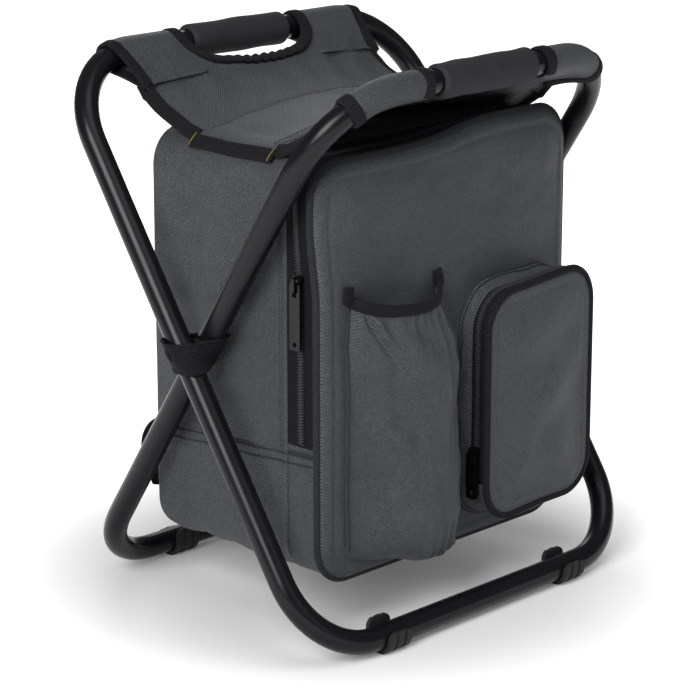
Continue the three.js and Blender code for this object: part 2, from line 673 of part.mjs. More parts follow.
// Pull tab: its cross bar lies under the bridge, which stands through the slot below the bar
function pull(length) {
  const bar = PULL_BAR / 2;
  const [w, end] = [PULL_W / 2, bar - length];
  const shape = roundRect(new THREE.Shape(), -w, end, w, bar, PULL_BAR);
  const slot = BRIDGE_W / 2 + 2 * FIT;
  shape.holes.push(roundRect(new THREE.Path(), -slot, -bar - PULL_EYE, slot, -bar, FIT));
  const ring = new THREE.Path();
  ring.absarc(0, end + 2.2 * PULL_RING, PULL_RING, 0, 2 * Math.PI, true);
  shape.holes.push(ring);
  const seat = FIT + SLIDER_T + (BRIDGE_ROOM - PULL_T) / 2;
  return alongX(extrude(shape, PULL_T, 3)).translate(seat, 0, 0);
}

for (const [name, length, x, y, z] of [
  ['main_zip', MAIN_PULL_L, -BAG_HALF - FIT - ZIP_TAPE_T, ZIP_Y, BAG_FLOOR + ZIP_END + MAIN_SLIDER_UP],
  ['pocket_zip', POCKET_PULL_L, pocketX0 - FIT - POCKET_TAPE_T, pocketZip,
    pocketLow + POCKET_ZIP_END + POCKET_SLIDER_UP],
]) {
  const onTape = new THREE.Group();
  onTape.position.set(x, y, z);
  onTape.rotation.z = Math.PI;
  stool.add(onTape);
  add(`${name}_slider`, slider(), steel, onTape);
  add(`${name}_pull`, pull(length), nylon, onTape);
}

// Sling seat. Its underside follows the bag's shoulders and crowns between them.
function bagTop(x) {
  const past = Math.max(0, Math.abs(x) - (BAG_HALF - BAG_R));
  return BAG_TOP - BAG_R + Math.sqrt(Math.max(0, BAG_R * BAG_R - past * past));
}

function underside(x) {
  const crown = SEAT_CROWN * (1 - (x / WAIST_X) ** 2);
  return FIT + Math.max(bagTop(x), bagTop(WAIST_X) + crown);
}

const stripX = (i) => WAIST_X * Math.sin((Math.PI / 2) * (i / 12 - 1));
const stripY = (j) => (SEAM_Y - FIT) * (j - 1);
const strip = (lift) => (i, j) => new THREE.Vector3(stripX(i), stripY(j), underside(stripX(i)) + lift);
add('seat_middle', sheet(24, 2, strip(SEAT_T), strip(0)), cloth);

// Distance from the bar at which a slope begins: below the grip, or past the sleeve and the bend
function slopeStart(x, span) {
  const free = SLEEVE_R + FIT;
  if (Math.abs(x) < CUTOUT_X) {
    return free + CUTOUT_DEPTH * Math.sqrt(1 - (Math.abs(x) / CUTOUT_X) ** 6);
  }
  const past = Math.max(0, Math.abs(x) - (span / 2 - TOP_BEND));
  const turn = Math.asin(Math.min(0.95, past / TOP_BEND));
  const chord = past > 0 ? TOP_BEND * (1 - Math.cos(Math.PI / 4 / BEND_STEPS)) : 0;
  return free + chord + TOP_BEND * (1 - Math.cos(turn)) + SLEEVE_R * (1 / Math.cos(turn) - 1);
}

// Slope columns: even outside the cut-out, closing up towards its steep ends inside it
const CUTOUT_STEPS = 14;
const cutoutTurn = (i) => Math.PI * (i / CUTOUT_STEPS - 0.5);
const slopeColumns = [];
for (let i = 0; i <= 6; i++) slopeColumns.push(-SLEEVE_END_X + ((SLEEVE_END_X - CUTOUT_X) * i) / 6);
for (let i = 1; i < CUTOUT_STEPS; i++) slopeColumns.push(CUTOUT_X * Math.sin(cutoutTurn(i)));
for (let i = 0; i <= 6; i++) slopeColumns.push(CUTOUT_X + ((SLEEVE_END_X - CUTOUT_X) * i) / 6);

// Line of a slope below the bar at one column: its end at the seam, its direction and its normal
function slopeLine(x) {
  const outside = Math.max(0, Math.abs(x) - CUTOUT_X) * ((WAIST_X - CUTOUT_X) / (SLEEVE_END_X - CUTOUT_X));
  const endX = Math.sign(x) * (Math.min(Math.abs(x), CUTOUT_X) + outside);
  const endZ = underside(endX) + SEAT_T / 2;
  const run = new THREE.Vector2(SEAM_Y + FIT - BAR_Y, endZ - BAR_Z);
  const length = run.length() - SEAT_T / 3;
  run.normalize();
  return { endX, length, run };
}

function slopePoint(x, t, lift, side, share, sag) {
  const { endX, run } = slopeLine(x);
  const y = BAR_Y + run.x * t + run.y * (lift - sag);
  const z = BAR_Z + run.y * t - run.x * (lift - sag);
  return new THREE.Vector3(THREE.MathUtils.lerp(x, endX, share), side * y, z);
}

function slope(span, side) {
  const rows = 4;
  const surface = (lift) => (i, j) => {
    const x = slopeColumns[i];
    const start = slopeStart(x, span);
    const share = j / rows;
    const t = THREE.MathUtils.lerp(start, slopeLine(x).length, share);
    return slopePoint(x, t, lift, side, share, SEAT_SAG * Math.sin(Math.PI * share));
  };
  return sheet(slopeColumns.length - 1, rows, surface(SEAT_T / 2), surface(-SEAT_T / 2));
}

// Binding round the cut-out, just inside the slope's edge
function binding(side) {
  const edge = (i) => {
    const a = cutoutTurn(i + 1);
    const t = SLEEVE_R + FIT + CUTOUT_DEPTH * Math.sqrt(1 - Math.sin(a) ** 6);
    return new THREE.Vector2(CUTOUT_X * Math.sin(a), t);
  };
  const surface = (lift) => (i, j) => {
    const along = edge(i + 0.01).sub(edge(i - 0.01)).normalize();
    const p = edge(i).add(new THREE.Vector2(along.y, -along.x).multiplyScalar(FIT + j * BINDING_W));
    return slopePoint(p.x, p.y, lift, side, 0, 0);
  };
  return sheet(CUTOUT_STEPS - 2, 1, surface(BINDING_T / 2), surface(-BINDING_T / 2));
}

for (const [name, span, side] of [['rear', OUTER_SPAN, 1], ['front', INNER_SPAN, -1]]) {
  add(`seat_${name}`, slope(span, side), cloth);
  add(`seat_${name}_binding`, binding(side), tape);
}

// Shoulder straps: a bowed pad, a ladder buckle under it and a webbing down to the bag's lower corner
const strapTop = BAG_TOP - STRAP_TOP;
const buckleTop = strapTop - STRAP_PAD_L - FIT;
const webTop = buckleTop - BUCKLE_H - FIT;

function strapPad(side) {
  const surface = (outside) => (i, j) => {
    const across = i / 4 - 1;
    const bow = STRAP_PAD_BOW * Math.sin((Math.PI * j) / 10);
    const thick = outside * STRAP_PAD_T * (1 - 0.5 * across ** 4);
    const x = side * STRAP_X + (across * STRAP_PAD_W) / 2;
    return new THREE.Vector3(x, BACK_Y + FIT + bow + thick, strapTop - (STRAP_PAD_L * j) / 10);
  };
  return sheet(8, 10, surface(1), surface(0));
}

function buckle(side) {
  const [w, bar] = [BUCKLE_W / 2, BUCKLE_BAR];
  const shape = roundRect(new THREE.Shape(), -w, -BUCKLE_H, w, 0, bar);
  for (const z of [-bar, BUCKLE_SLOT + bar - BUCKLE_H]) {
    const slot = roundRect(new THREE.Path(), bar - w, z - BUCKLE_SLOT, w - bar, z, BUCKLE_SLOT / 4);
    shape.holes.push(slot);
  }
  const plate = extrude(shape, BUCKLE_T, 2).rotateX(Math.PI / 2);
  return plate.translate(side * STRAP_X, BACK_Y + FIT + BUCKLE_T, buckleTop);
}

function webbing(side) {
  const surface = (lift) => (i, j) => {
    const share = j / 10;
    const run = share ** WEB_TURN;
    const x = STRAP_X + WEB_OUT * run + (i - 0.5) * WEB_W;
    const bow = WEB_BOW * Math.sin(Math.PI * run);
    return new THREE.Vector3(side * x, BACK_Y + FIT + bow + lift, webTop - WEB_DROP * share);
  };
  return sheet(1, 10, surface(WEB_T), surface(0));
}

for (const [name, side] of [['left', -1], ['right', 1]]) {
  add(`strap_pad_${name}`, strapPad(side), tape);
  add(`strap_buckle_${name}`, buckle(side), nylon);
  add(`strap_web_${name}`, webbing(side), tape);
}

export default stool;
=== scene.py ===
# %% [markdown]
# # Folding cooler stool
# Two crossed loops of painted tube carry a grey sling seat, and a zipped cool bag hangs under it.
# The CAD model gives every place and every joint. This lesson dresses it: smooth tubes, cloth with
# real folds, tapes, zips and stitches. Everything is in metres, in the same frame as the CAD.

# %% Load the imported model
import math

import bpy
import numpy as np
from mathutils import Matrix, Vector


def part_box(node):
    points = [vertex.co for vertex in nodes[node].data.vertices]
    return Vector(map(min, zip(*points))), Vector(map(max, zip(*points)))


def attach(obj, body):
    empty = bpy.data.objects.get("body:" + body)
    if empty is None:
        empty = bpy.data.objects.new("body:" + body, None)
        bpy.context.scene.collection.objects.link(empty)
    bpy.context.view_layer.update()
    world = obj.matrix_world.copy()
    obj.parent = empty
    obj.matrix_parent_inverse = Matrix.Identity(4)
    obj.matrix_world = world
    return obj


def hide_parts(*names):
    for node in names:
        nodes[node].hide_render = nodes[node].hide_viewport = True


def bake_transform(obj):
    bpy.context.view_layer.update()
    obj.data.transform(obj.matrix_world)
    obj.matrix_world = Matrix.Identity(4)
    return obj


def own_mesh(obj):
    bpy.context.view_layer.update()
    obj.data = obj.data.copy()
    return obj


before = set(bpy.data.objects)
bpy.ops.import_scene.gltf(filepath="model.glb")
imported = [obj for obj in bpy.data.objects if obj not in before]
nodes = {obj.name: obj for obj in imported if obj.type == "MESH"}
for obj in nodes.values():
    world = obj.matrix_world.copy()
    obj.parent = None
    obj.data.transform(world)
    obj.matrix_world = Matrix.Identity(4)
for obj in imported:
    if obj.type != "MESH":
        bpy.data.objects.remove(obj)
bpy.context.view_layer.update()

# %% [markdown]
# ## Sizes
# These are the CAD model's own driving sizes, written once more in metres, because every soft piece
# is drawn round the same bars, bag and pivot.

# %% Sizes shared with the CAD model
LEAN = math.radians(33.2)
REACH_UP, REACH_DOWN = 0.230, 0.237
TUBE_R, TOP_BEND, FLOOR_BEND = 0.009, 0.065, 0.060
OUTER_SPAN, INNER_SPAN = 0.344, 0.300
SOLE = 0.003
PIVOT_Z = REACH_DOWN * math.cos(LEAN) + TUBE_R + SOLE
BAR_Z = PIVOT_Z + REACH_UP * math.cos(LEAN)
SLEEVE_R, CUTOUT_X, SLEEVE_END = 0.0109, 0.061, 0.127
CUTOUT_DEPTH, WAIST_X, SEAM_Y = 0.019, 0.118, 0.039
BAG_HALF, BAG_R = 0.12999, 0.028
BAG_TOP = BAR_Z - 0.047
BAG_FLOOR = BAG_TOP - 0.309
FACE_Y, BACK_Y = -0.098, 0.078
ZIP_Y = sum(corner.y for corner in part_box("main_zip_slider")) / 2
ZIP_END_Z = BAG_FLOOR + 0.099
print("pivot", round(PIVOT_Z, 4), "bar", round(BAR_Z, 4), "zip line", round(ZIP_Y, 4))

# %% [markdown]
# ## Camera
# The camera stands at the photograph's angle, far off with a long lens, so the legs look nearly
# parallel. A camera looks along its own -Z axis, and a quaternion turns that axis to a target.


# %% Camera
def aimed(name, data, place, target):
    """A camera or lamp in the scene, looking from a place at a target."""
    made = bpy.data.objects.new(name, data)
    scene.collection.objects.link(made)
    made.location = place
    made.rotation_mode = "QUATERNION"
    made.rotation_quaternion = (Vector(target) - Vector(place)).to_track_quat("-Z", "Y")
    return made


scene = bpy.context.scene
camera_data = bpy.data.cameras.new("camera")
camera_data.sensor_width = 36
camera_data.lens = 136.2
camera = aimed("camera", camera_data, (-1.38540, -1.33482, 0.71643), (-0.00563, -0.00274, 0.17875))
scene.camera = camera
scene.view_settings.view_transform = "Standard"
print("camera", tuple(camera.location), "lens", camera_data.lens)

# %% [markdown]
# ## Node helpers
# Every finish here is a tree of shader nodes. Making nodes by hand takes many lines each, so a few
# helpers make one node, set its plain values and link it to the sockets it is given.


# %% Node helpers
def new_node(tree, kind, settings=(), **inputs):
    """A shader node; each input is a value or a socket to link, by its name or as i0, i1 and so on."""
    made = tree.nodes.new(kind)
    for key, value in dict(settings).items():
        setattr(made, key, value)
    for key, value in inputs.items():
        numbered = key[0] == "i" and key[1:].isdigit()
        socket = made.inputs[int(key[1:]) if numbered else key.replace("_", " ")]
        if isinstance(value, bpy.types.NodeSocket):
            tree.links.new(value, socket)
        else:
            socket.default_value = value
    return made


def math_node(tree, operation, a, b=0.0, c=0.0, clamp=False):
    settings = {"operation": operation, "use_clamp": clamp}
    return new_node(tree, "ShaderNodeMath", settings, i0=a, i1=b, i2=c).outputs[0]


def vector_math(tree, operation, **inputs):
    return new_node(tree, "ShaderNodeVectorMath", {"operation": operation}, **inputs).outputs


def noise(tree, place, scale, detail, roughness=0.5):
    inputs = {"Vector": place, "Scale": scale, "Detail": detail, "Roughness": roughness}
    return new_node(tree, "ShaderNodeTexNoise", **inputs).outputs[0]


def mix_colour(tree, factor, a, b):
    return new_node(tree, "ShaderNodeMix", {"data_type": "RGBA"}, i0=factor, i6=a, i7=b).outputs[2]


def set_values(node, **values):
    for key, value in values.items():
        node.inputs[key.replace("_", " ")].default_value = value


def finish_named(name):
    """A new material with its node tree and its Principled shader."""
    made = bpy.data.materials.new(name)
    made.use_nodes = True
    return made, made.node_tree, made.node_tree.nodes["Principled BSDF"]


print("node helpers ready")

# %% [markdown]
# ## Floor and light
# The floor is plain and pale: it glows white to the camera, but less near the stool, where its shadow
# has to show. One wide lamp on the left gives the long highlights on the tubes, and weaker ones open
# up the shadows.

# %% Floor and world
floor_mesh = bpy.data.meshes.new("floor")
floor_mesh.from_pydata([(-6, -6, 0), (6, -6, 0), (6, 6, 0), (-6, 6, 0)], [], [(0, 1, 2, 3)])
floor = bpy.data.objects.new("floor", floor_mesh)
scene.collection.objects.link(floor)
paper, tree, shader = finish_named("pale_floor")
rays = new_node(tree, "ShaderNodeLightPath").outputs
seen = math_node(tree, "ADD", rays["Is Camera Ray"], rays["Is Glossy Ray"])
seen = math_node(tree, "ADD", seen, rays["Is Transmission Ray"], clamp=True)
set_values(shader, Base_Color=(0.74, 0.74, 0.74, 1), Roughness=0.9, Specular_IOR_Level=0.1,
           Emission_Color=(1, 1, 1, 1))
place = new_node(tree, "ShaderNodeTexCoord").outputs["Object"]
away = vector_math(tree, "LENGTH", i0=place)["Value"]
glow = new_node(tree, "ShaderNodeMapRange", {"interpolation_type": "SMOOTHSTEP"}, Value=away,
                From_Min=0.14, From_Max=0.40, To_Min=0.09, To_Max=1.1)
tree.links.new(math_node(tree, "MULTIPLY", seen, glow.outputs[0]), shader.inputs["Emission Strength"])
floor_mesh.materials.append(paper)

WORLD_LIGHT = 0.15
world = bpy.data.worlds.new("studio")
scene.world = world
world.use_nodes = True
tree = world.node_tree
rays = new_node(tree, "ShaderNodeLightPath").outputs
seen = math_node(tree, "ADD", rays["Is Camera Ray"], rays["Is Transmission Ray"], clamp=True)
background = tree.nodes["Background"]
background.inputs["Color"].default_value = (1, 1, 1, 1)
level = math_node(tree, "MULTIPLY_ADD", seen, 1 - WORLD_LIGHT, WORLD_LIGHT)
tree.links.new(level, background.inputs["Strength"])
print("floor", floor.name, "world", world.name)

# %% Lamps
LAMPS = (  # name, place, target, size, watts
    ("key", (-2.2, -0.8, 1.5), (0, 0, 0.2), (1.3, 1.3), 68),
    ("top", (-0.2, -1.1, 2.3), (0, 0, 0.2), (1.6, 1.6), 17),
    ("fill", (0.2, -2.6, 1.3), (0, 0, 0.2), (1.4, 1.4), 5),
    ("rim", (1.4, 1.8, 1.5), (0, 0, 0.3), (0.8, 1.2), 8),
)
for name, place, target, size, watts in LAMPS:
    data = bpy.data.lights.new(name, "AREA")
    data.shape = "RECTANGLE"
    data.size, data.size_y = size
    data.energy = watts
    aimed(name, data, place, target)
print("lamps", [row[0] for row in LAMPS])

# %% [markdown]
# ## Shared effects
# The bag, the seat and the pockets are one coarse grey cloth; the bindings, bands and zip tapes are
# black tape. Each effect is a node group, so that every material places it with its own thread size.
# The pattern follows the cloth's own flat coordinates in metres, so it turns with each panel.


# %% Plain weave
def new_group(name, inputs, outputs):
    tree = bpy.data.node_groups.new(name, "ShaderNodeTree")
    for label, kind, value in inputs:
        socket = tree.interface.new_socket(name=label, in_out="INPUT", socket_type="NodeSocket" + kind)
        if value is not None:
            socket.default_value = value
    for label, kind in outputs:
        tree.interface.new_socket(name=label, in_out="OUTPUT", socket_type="NodeSocket" + kind)
    return tree, tree.nodes.new("NodeGroupInput").outputs, tree.nodes.new("NodeGroupOutput").inputs


def waves(tree, value):
    return math_node(tree, "SINE", math_node(tree, "MULTIPLY", value, math.pi))


def centred(tree, value, amount):
    """A random value from 0 to 1, moved to swing evenly about zero."""
    return math_node(tree, "MULTIPLY", math_node(tree, "SUBTRACT", value, 0.5), amount)


weave, given, result = new_group(
    "plain_weave",
    [("UV", "Vector", None), ("Thread", "Float", 0.0008), ("Mottle", "Float", 0.5),
     ("Dark", "Color", (0.04, 0.04, 0.045, 1)), ("Light", "Color", (0.1, 0.1, 0.11, 1))],
    [("Color", "Color"), ("Height", "Float")],
)
turns = math_node(weave, "DIVIDE", 1.0, given["Thread"])
threads_at = vector_math(weave, "SCALE", i0=given["UV"], Scale=turns)[0]
axes = new_node(weave, "ShaderNodeSeparateXYZ", i0=threads_at).outputs
crossing = math_node(weave, "MULTIPLY", waves(weave, axes[0]), waves(weave, axes[1]))
cell = vector_math(weave, "FLOOR", i0=threads_at)[0]
chance = new_node(weave, "ShaderNodeTexWhiteNoise", {"noise_dimensions": "2D"}, Vector=cell).outputs["Value"]
patch = noise(weave, given["UV"], 38.0, 3.0)
streak_place = vector_math(weave, "MULTIPLY", i0=given["UV"], i1=(160, 900, 1))[0]
streak = noise(weave, streak_place, 1.0, 2.0)
tone = math_node(weave, "MULTIPLY_ADD", crossing, 0.24, 0.42)
tone = math_node(weave, "ADD", tone, centred(weave, chance, 0.24))
tone = math_node(weave, "ADD", tone, centred(weave, streak, 0.10))
tone = math_node(weave, "ADD", tone, centred(weave, patch, given["Mottle"]), clamp=True)
weave.links.new(mix_colour(weave, tone, given["Dark"], given["Light"]), result["Color"])
relief = math_node(weave, "MULTIPLY_ADD", crossing, 0.5, 0.5)
weave.links.new(math_node(weave, "MULTIPLY_ADD", chance, 0.15, relief), result["Height"])
print("group", weave.name, len(weave.nodes), "nodes")

# %% Ribbed tape and handling marks
ribs, given, result = new_group(
    "ribbed_tape",
    [("UV", "Vector", None), ("Rib", "Float", 0.0011), ("Slant", "Float", 0.7),
     ("Dark", "Color", (0.006, 0.006, 0.007, 1)), ("Light", "Color", (0.03, 0.03, 0.033, 1))],
    [("Color", "Color"), ("Height", "Float")],
)
axes = new_node(ribs, "ShaderNodeSeparateXYZ", i0=given["UV"]).outputs
slanted = math_node(ribs, "MULTIPLY_ADD", axes[1], given["Slant"], axes[0])
rib = waves(ribs, math_node(ribs, "DIVIDE", slanted, given["Rib"]))
cross = waves(ribs, math_node(ribs, "DIVIDE", axes[1], given["Rib"]))
fuzz = noise(ribs, given["UV"], 420.0, 2.0)
tone = math_node(ribs, "MULTIPLY_ADD", math_node(ribs, "ADD", rib, cross), 0.18, -0.05)
tone = math_node(ribs, "ADD", tone, fuzz, clamp=True)
ribs.links.new(mix_colour(ribs, tone, given["Dark"], given["Light"]), result["Color"])
ribs.links.new(math_node(ribs, "MULTIPLY_ADD", cross, 0.5, rib), result["Height"])

marks, given, result = new_group(
    "handling_marks",
    [("Scale", "Float", 60.0), ("Amount", "Float", 0.5)],
    [("Mask", "Float"), ("Height", "Float")],
)
place = new_node(marks, "ShaderNodeTexCoord").outputs["Object"]
spread = centred(marks, noise(marks, place, given["Scale"], 4.0, 0.65), given["Amount"])
marks.links.new(math_node(marks, "ADD", spread, 0.5, clamp=True), result["Mask"])
marks.links.new(noise(marks, place, 1400.0, 1.0), result["Height"])
print("node groups", [g.name for g in bpy.data.node_groups])

# %% [markdown]
# ## Cloth and tape
# The grey cloth is dull and speckled, with a faint sheen at grazing angles. The tapes are nearly
# black with fine slanted ribs. Both read the flat coordinates that each mesh carries.


# %% Cloth and tape materials
def bumped(tree, shader, strength, depth, height):
    bump = new_node(tree, "ShaderNodeBump", Strength=strength, Distance=depth, Height=height)
    tree.links.new(bump.outputs[0], shader.inputs["Normal"])


def woven(name, group, values, dark, light, relief, depth, roughness, sheen, shine=0.10):
    made, tree, shader = finish_named(name)
    flat = new_node(tree, "ShaderNodeUVMap", {"uv_map": "flat"}).outputs[0]
    colours = {"Dark": (*dark, 1), "Light": (*light, 1)}
    cloth = new_node(tree, "ShaderNodeGroup", {"node_tree": group}, UV=flat, **values, **colours).outputs
    tree.links.new(cloth["Color"], shader.inputs["Base Color"])
    bumped(tree, shader, relief, depth, cloth["Height"])
    set_values(shader, Roughness=roughness, Specular_IOR_Level=shine, Sheen_Weight=sheen,
               Sheen_Roughness=0.45)
    return made


grey_cloth = woven("grey_cloth", weave, {"Thread": 0.0012, "Mottle": 0.06},
                   (0.009, 0.0096, 0.0111), (0.096, 0.1027, 0.1127), 0.9, 0.0005, 0.47, 0.04, 0.25)
black_tape = woven("black_tape", ribs, {"Rib": 0.0011, "Slant": 0.7},
                   (0.004, 0.004, 0.0045), (0.0155, 0.0155, 0.0180), 0.5, 0.0004, 0.75, 0.02)
zip_tape = woven("zip_tape", ribs, {"Rib": 0.0007, "Slant": 0.0},
                 (0.005, 0.005, 0.006), (0.010, 0.010, 0.012), 0.35, 0.0002, 0.75, 0.02)
piping_tape = woven("piping_tape", ribs, {"Rib": 0.0009, "Slant": 0.6},
                    (0.010, 0.0105, 0.012), (0.034, 0.036, 0.040), 0.4, 0.0003, 0.72, 0.06)
print("cloth materials", grey_cloth.name, black_tape.name, zip_tape.name, piping_tape.name)

# %% [markdown]
# ## Hard pieces, foam and thread
# The tube has a smooth satin paint, the grips are soft closed foam, and the feet, sliders and buckles
# are moulded or cast. One recipe serves all: two near colours mixed by the handling marks, which also
# vary the roughness, and a fine grain.


# %% Hard, foam and thread materials
def moulded(name, dark, light, roughness, scale, relief, depth, metallic=0.0, shine=0.3):
    made, tree, shader = finish_named(name)
    worn = new_node(tree, "ShaderNodeGroup", {"node_tree": marks}, Scale=scale, Amount=1.2).outputs
    colour = mix_colour(tree, worn["Mask"], (*dark, 1), (*light, 1))
    tree.links.new(colour, shader.inputs["Base Color"])
    spread = {"To_Min": roughness - 0.06, "To_Max": roughness + 0.08}
    rough = new_node(tree, "ShaderNodeMapRange", Value=worn["Mask"], **spread)
    tree.links.new(rough.outputs[0], shader.inputs["Roughness"])
    bumped(tree, shader, relief, depth, worn["Height"])
    set_values(shader, Metallic=metallic, Specular_IOR_Level=shine)
    return made


frame_paint = moulded("frame_paint", (0.0040, 0.0038, 0.0050), (0.0070, 0.0066, 0.0086),
                      0.27, 40, 0.06, 0.0002, shine=0.20)
grip_foam = moulded("grip_foam", (0.013, 0.013, 0.0145), (0.025, 0.025, 0.028), 0.78, 90, 0.5, 0.0004)
foot_rubber = moulded("foot_rubber", (0.010, 0.010, 0.011), (0.020, 0.020, 0.021), 0.6, 120, 0.3, 0.0002)
nylon = moulded("nylon", (0.008, 0.008, 0.009), (0.018, 0.018, 0.019), 0.42, 120, 0.1, 0.0001)
dark_metal = moulded("dark_metal", (0.018, 0.0176, 0.0184), (0.032, 0.0314, 0.0325),
                     0.22, 150, 0.05, 0.0001, metallic=0.9)
zip_teeth_nylon = moulded("zip_teeth_nylon", (0.020, 0.020, 0.023), (0.038, 0.038, 0.042),
                          0.35, 300, 0.1, 0.0001)
bare_steel = moulded("bare_steel", (0.32, 0.32, 0.33), (0.42, 0.42, 0.43), 0.34, 120, 0.1, 0.0001, 1.0)
foil_film = moulded("foil_film", (0.52, 0.53, 0.55), (0.66, 0.67, 0.69), 0.30, 30, 0.1, 0.0002, 0.55)
grey_thread = moulded("grey_thread", (0.028, 0.029, 0.031), (0.045, 0.046, 0.050), 0.7, 400, 0.3, 0.0001)
# Thread for the seam cords: its dark colour is partly the stitching and partly painted shade of the seam's
# fold.
seam_thread_and_shade = moulded("seam_thread_and_shade", (0.016, 0.016, 0.018), (0.028, 0.028, 0.031), 0.75, 400, 0.3, 0.0001)
yellow_thread = moulded("yellow_thread", (0.150, 0.120, 0.025), (0.210, 0.170, 0.045), 0.65, 400, 0.3, 0.0001)
print("materials", len(bpy.data.materials))

# %% [markdown]
# ## Mesh tools for cloth
# Cloth is easiest to draw as a grid of points: rows and columns over the real panel. A grid knows its
# own lengths, which become the flat coordinates of the weave, and it is thickened along its normals
# into a closed sheet.


# %% Grids and welding
FINE = 1e-7


def unit(v):
    return v / np.maximum(np.linalg.norm(v, axis=-1, keepdims=True), 1e-12)


def flat_map(u, v):
    """Flat cloth coordinates, in metres."""
    return np.stack(np.broadcast_arrays(u, v), -1)


def grid_part(points, flat=None, wrap=False):
    """Faces over a grid of points (rows, columns, 3), with flat cloth coordinates at every corner."""
    rows, columns = points.shape[:2]
    if wrap:
        points = np.concatenate([points, points[:, :1]], axis=1)
    if flat is None:
        across = np.cumsum(np.linalg.norm(np.diff(points, axis=1), axis=-1).mean(0))
        along = np.cumsum(np.linalg.norm(np.diff(points, axis=0), axis=-1).mean(1))
        flat = np.stack(np.meshgrid(np.r_[0, across], np.r_[0, along]), -1)
    elif wrap:
        flat = np.concatenate([flat, flat[:, :1]], axis=1)
    steps = columns if wrap else columns - 1
    j, i = np.meshgrid(np.arange(rows - 1), np.arange(steps), indexing="ij")
    corners = [(j, i), (j, i + 1), (j + 1, i + 1), (j + 1, i)]
    faces = np.stack([(a * columns + b % columns).ravel() for a, b in corners], -1)
    uv = np.stack([flat[a, b].reshape(-1, 2) for a, b in corners], 1)
    return points[:, :columns].reshape(-1, 3), faces, uv


def combine(*parts):
    points, faces, uvs = zip(*parts)
    starts = np.cumsum([0] + [len(p) for p in points])
    moved = [f + start for f, start in zip(faces, starts)]
    return np.concatenate(points), np.concatenate(moved), np.concatenate(uvs)


def weld(part, step=2e-5):
    """The part with points closer than a step made one."""
    points, faces, uv = part
    key = np.round(points / step).astype(np.int64)
    _, first, where = np.unique(key, axis=0, return_index=True, return_inverse=True)
    return points[first], where.reshape(-1)[faces], uv


print("grids ready")


# %% Direction and thickness
def vertex_normals(points, faces):
    a, b, c, d = (points[faces[:, k]] for k in range(4))
    face = np.cross(c - a, d - b)
    total = np.zeros_like(points)
    for k in range(4):
        np.add.at(total, faces[:, k], face)
    return unit(total)


def thicken(part, thickness):
    """A closed sheet: the part, the same part moved inwards, and a rim round every free edge."""
    points, faces, uv = part
    inner = points - vertex_normals(points, faces) * thickness
    count = len(points)
    edges = np.stack([faces, np.roll(faces, -1, 1)], -1).reshape(-1, 2)
    edge_uv = np.stack([uv, np.roll(uv, -1, 1)], 2).reshape(-1, 2, 2)
    code = np.sort(edges, 1) @ np.array([count, 1])
    _, where, seen = np.unique(code, return_inverse=True, return_counts=True)
    free = (seen[where.reshape(-1)] == 1) & (edges[:, 0] != edges[:, 1])
    a, b = edges[free, 0], edges[free, 1]
    rim = np.stack([b, a, a + count, b + count], -1)
    rim_uv = edge_uv[free][:, [1, 0, 0, 1]]
    return (np.concatenate([points, inner]),
            np.concatenate([faces, faces[:, ::-1] + count, rim]),
            np.concatenate([uv, uv[:, ::-1], rim_uv]))


def turned_out(part, inside):
    """The part with its faces pointing away from an inside point."""
    points, faces, uv = part
    away = (vertex_normals(points, faces) * (points - np.array(inside))).sum()
    return (points, faces[:, ::-1], uv[:, ::-1]) if away < 0 else part


def cloth_part(points, flat, inside, thickness, wrap=False):
    """A closed sheet over a grid of points, with its right side away from an inside point."""
    return thicken(turned_out(grid_part(points, flat, wrap), inside), thickness)


print("sheets ready")

# %% [markdown]
# ## From a part to an object
# A part so far is three arrays. Blender's mesh takes the points and faces, a UV layer takes the flat
# coordinates, and the object is parented to the empty of the body it rides on, the CAD parts it stands
# for are hidden, and it gets its material.


# %% Objects
def piece(name, part, material, body=None, stands_for=()):
    """An object of the part's points and faces, in the shared frame, riding on a body."""
    points, faces, uv = part
    loops, flats = [], []
    for face, corner in zip(faces.tolist(), uv.tolist()):
        keep = [k for k in range(4) if face[k] != face[k - 1]]
        if len(keep) > 2:
            loops.append([face[k] for k in keep])
            flats.extend(corner[k] for k in keep)
    mesh = bpy.data.meshes.new(name)
    mesh.from_pydata(points.tolist(), [], loops)
    mesh.uv_layers.new(name="flat").data.foreach_set("uv", np.array(flats, np.float32).ravel())
    mesh.polygons.foreach_set("use_smooth", np.ones(len(mesh.polygons), bool))
    mesh.materials.append(material)
    mesh.update()
    made = bpy.data.objects.new(name, mesh)
    scene.collection.objects.link(made)
    if body:
        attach(made, body)
    if stands_for:
        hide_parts(*stands_for)
    return made


print("objects ready to make")

# %% [markdown]
# ## Tubes, tapes and stitches
# Everything long and thin is a profile swept along a line: round for tubes and cords, flat with soft
# edges for tapes. Blender's curves could do that too, but an array keeps the tape's own normal, so a
# tape can lie on cloth. Stitches are rows of tiny separate bars.


# %% Sweeps
def turn_angles(count):
    """Even angles once round."""
    return np.arange(count) / count * 2 * np.pi


def line_frames(line, closed, up=None):
    """Tangents and two normals along a line; up gives the first normal, or it is carried along."""
    ahead = np.roll(line, -1, 0) - np.roll(line, 1, 0)
    if not closed:
        ahead[0], ahead[-1] = line[1] - line[0], line[-1] - line[-2]
    tangent = unit(ahead)
    if up is None:
        up = np.empty_like(line)
        start = np.array([0.0, 0, 1]) if abs(tangent[0, 2]) < 0.9 else np.array([1.0, 0, 0])
        for i, t in enumerate(tangent):
            start = unit(start - (start @ t) * t)
            up[i] = start
    up = unit(up - (up * tangent).sum(-1, keepdims=True) * tangent)
    return tangent, up, np.cross(tangent, up)


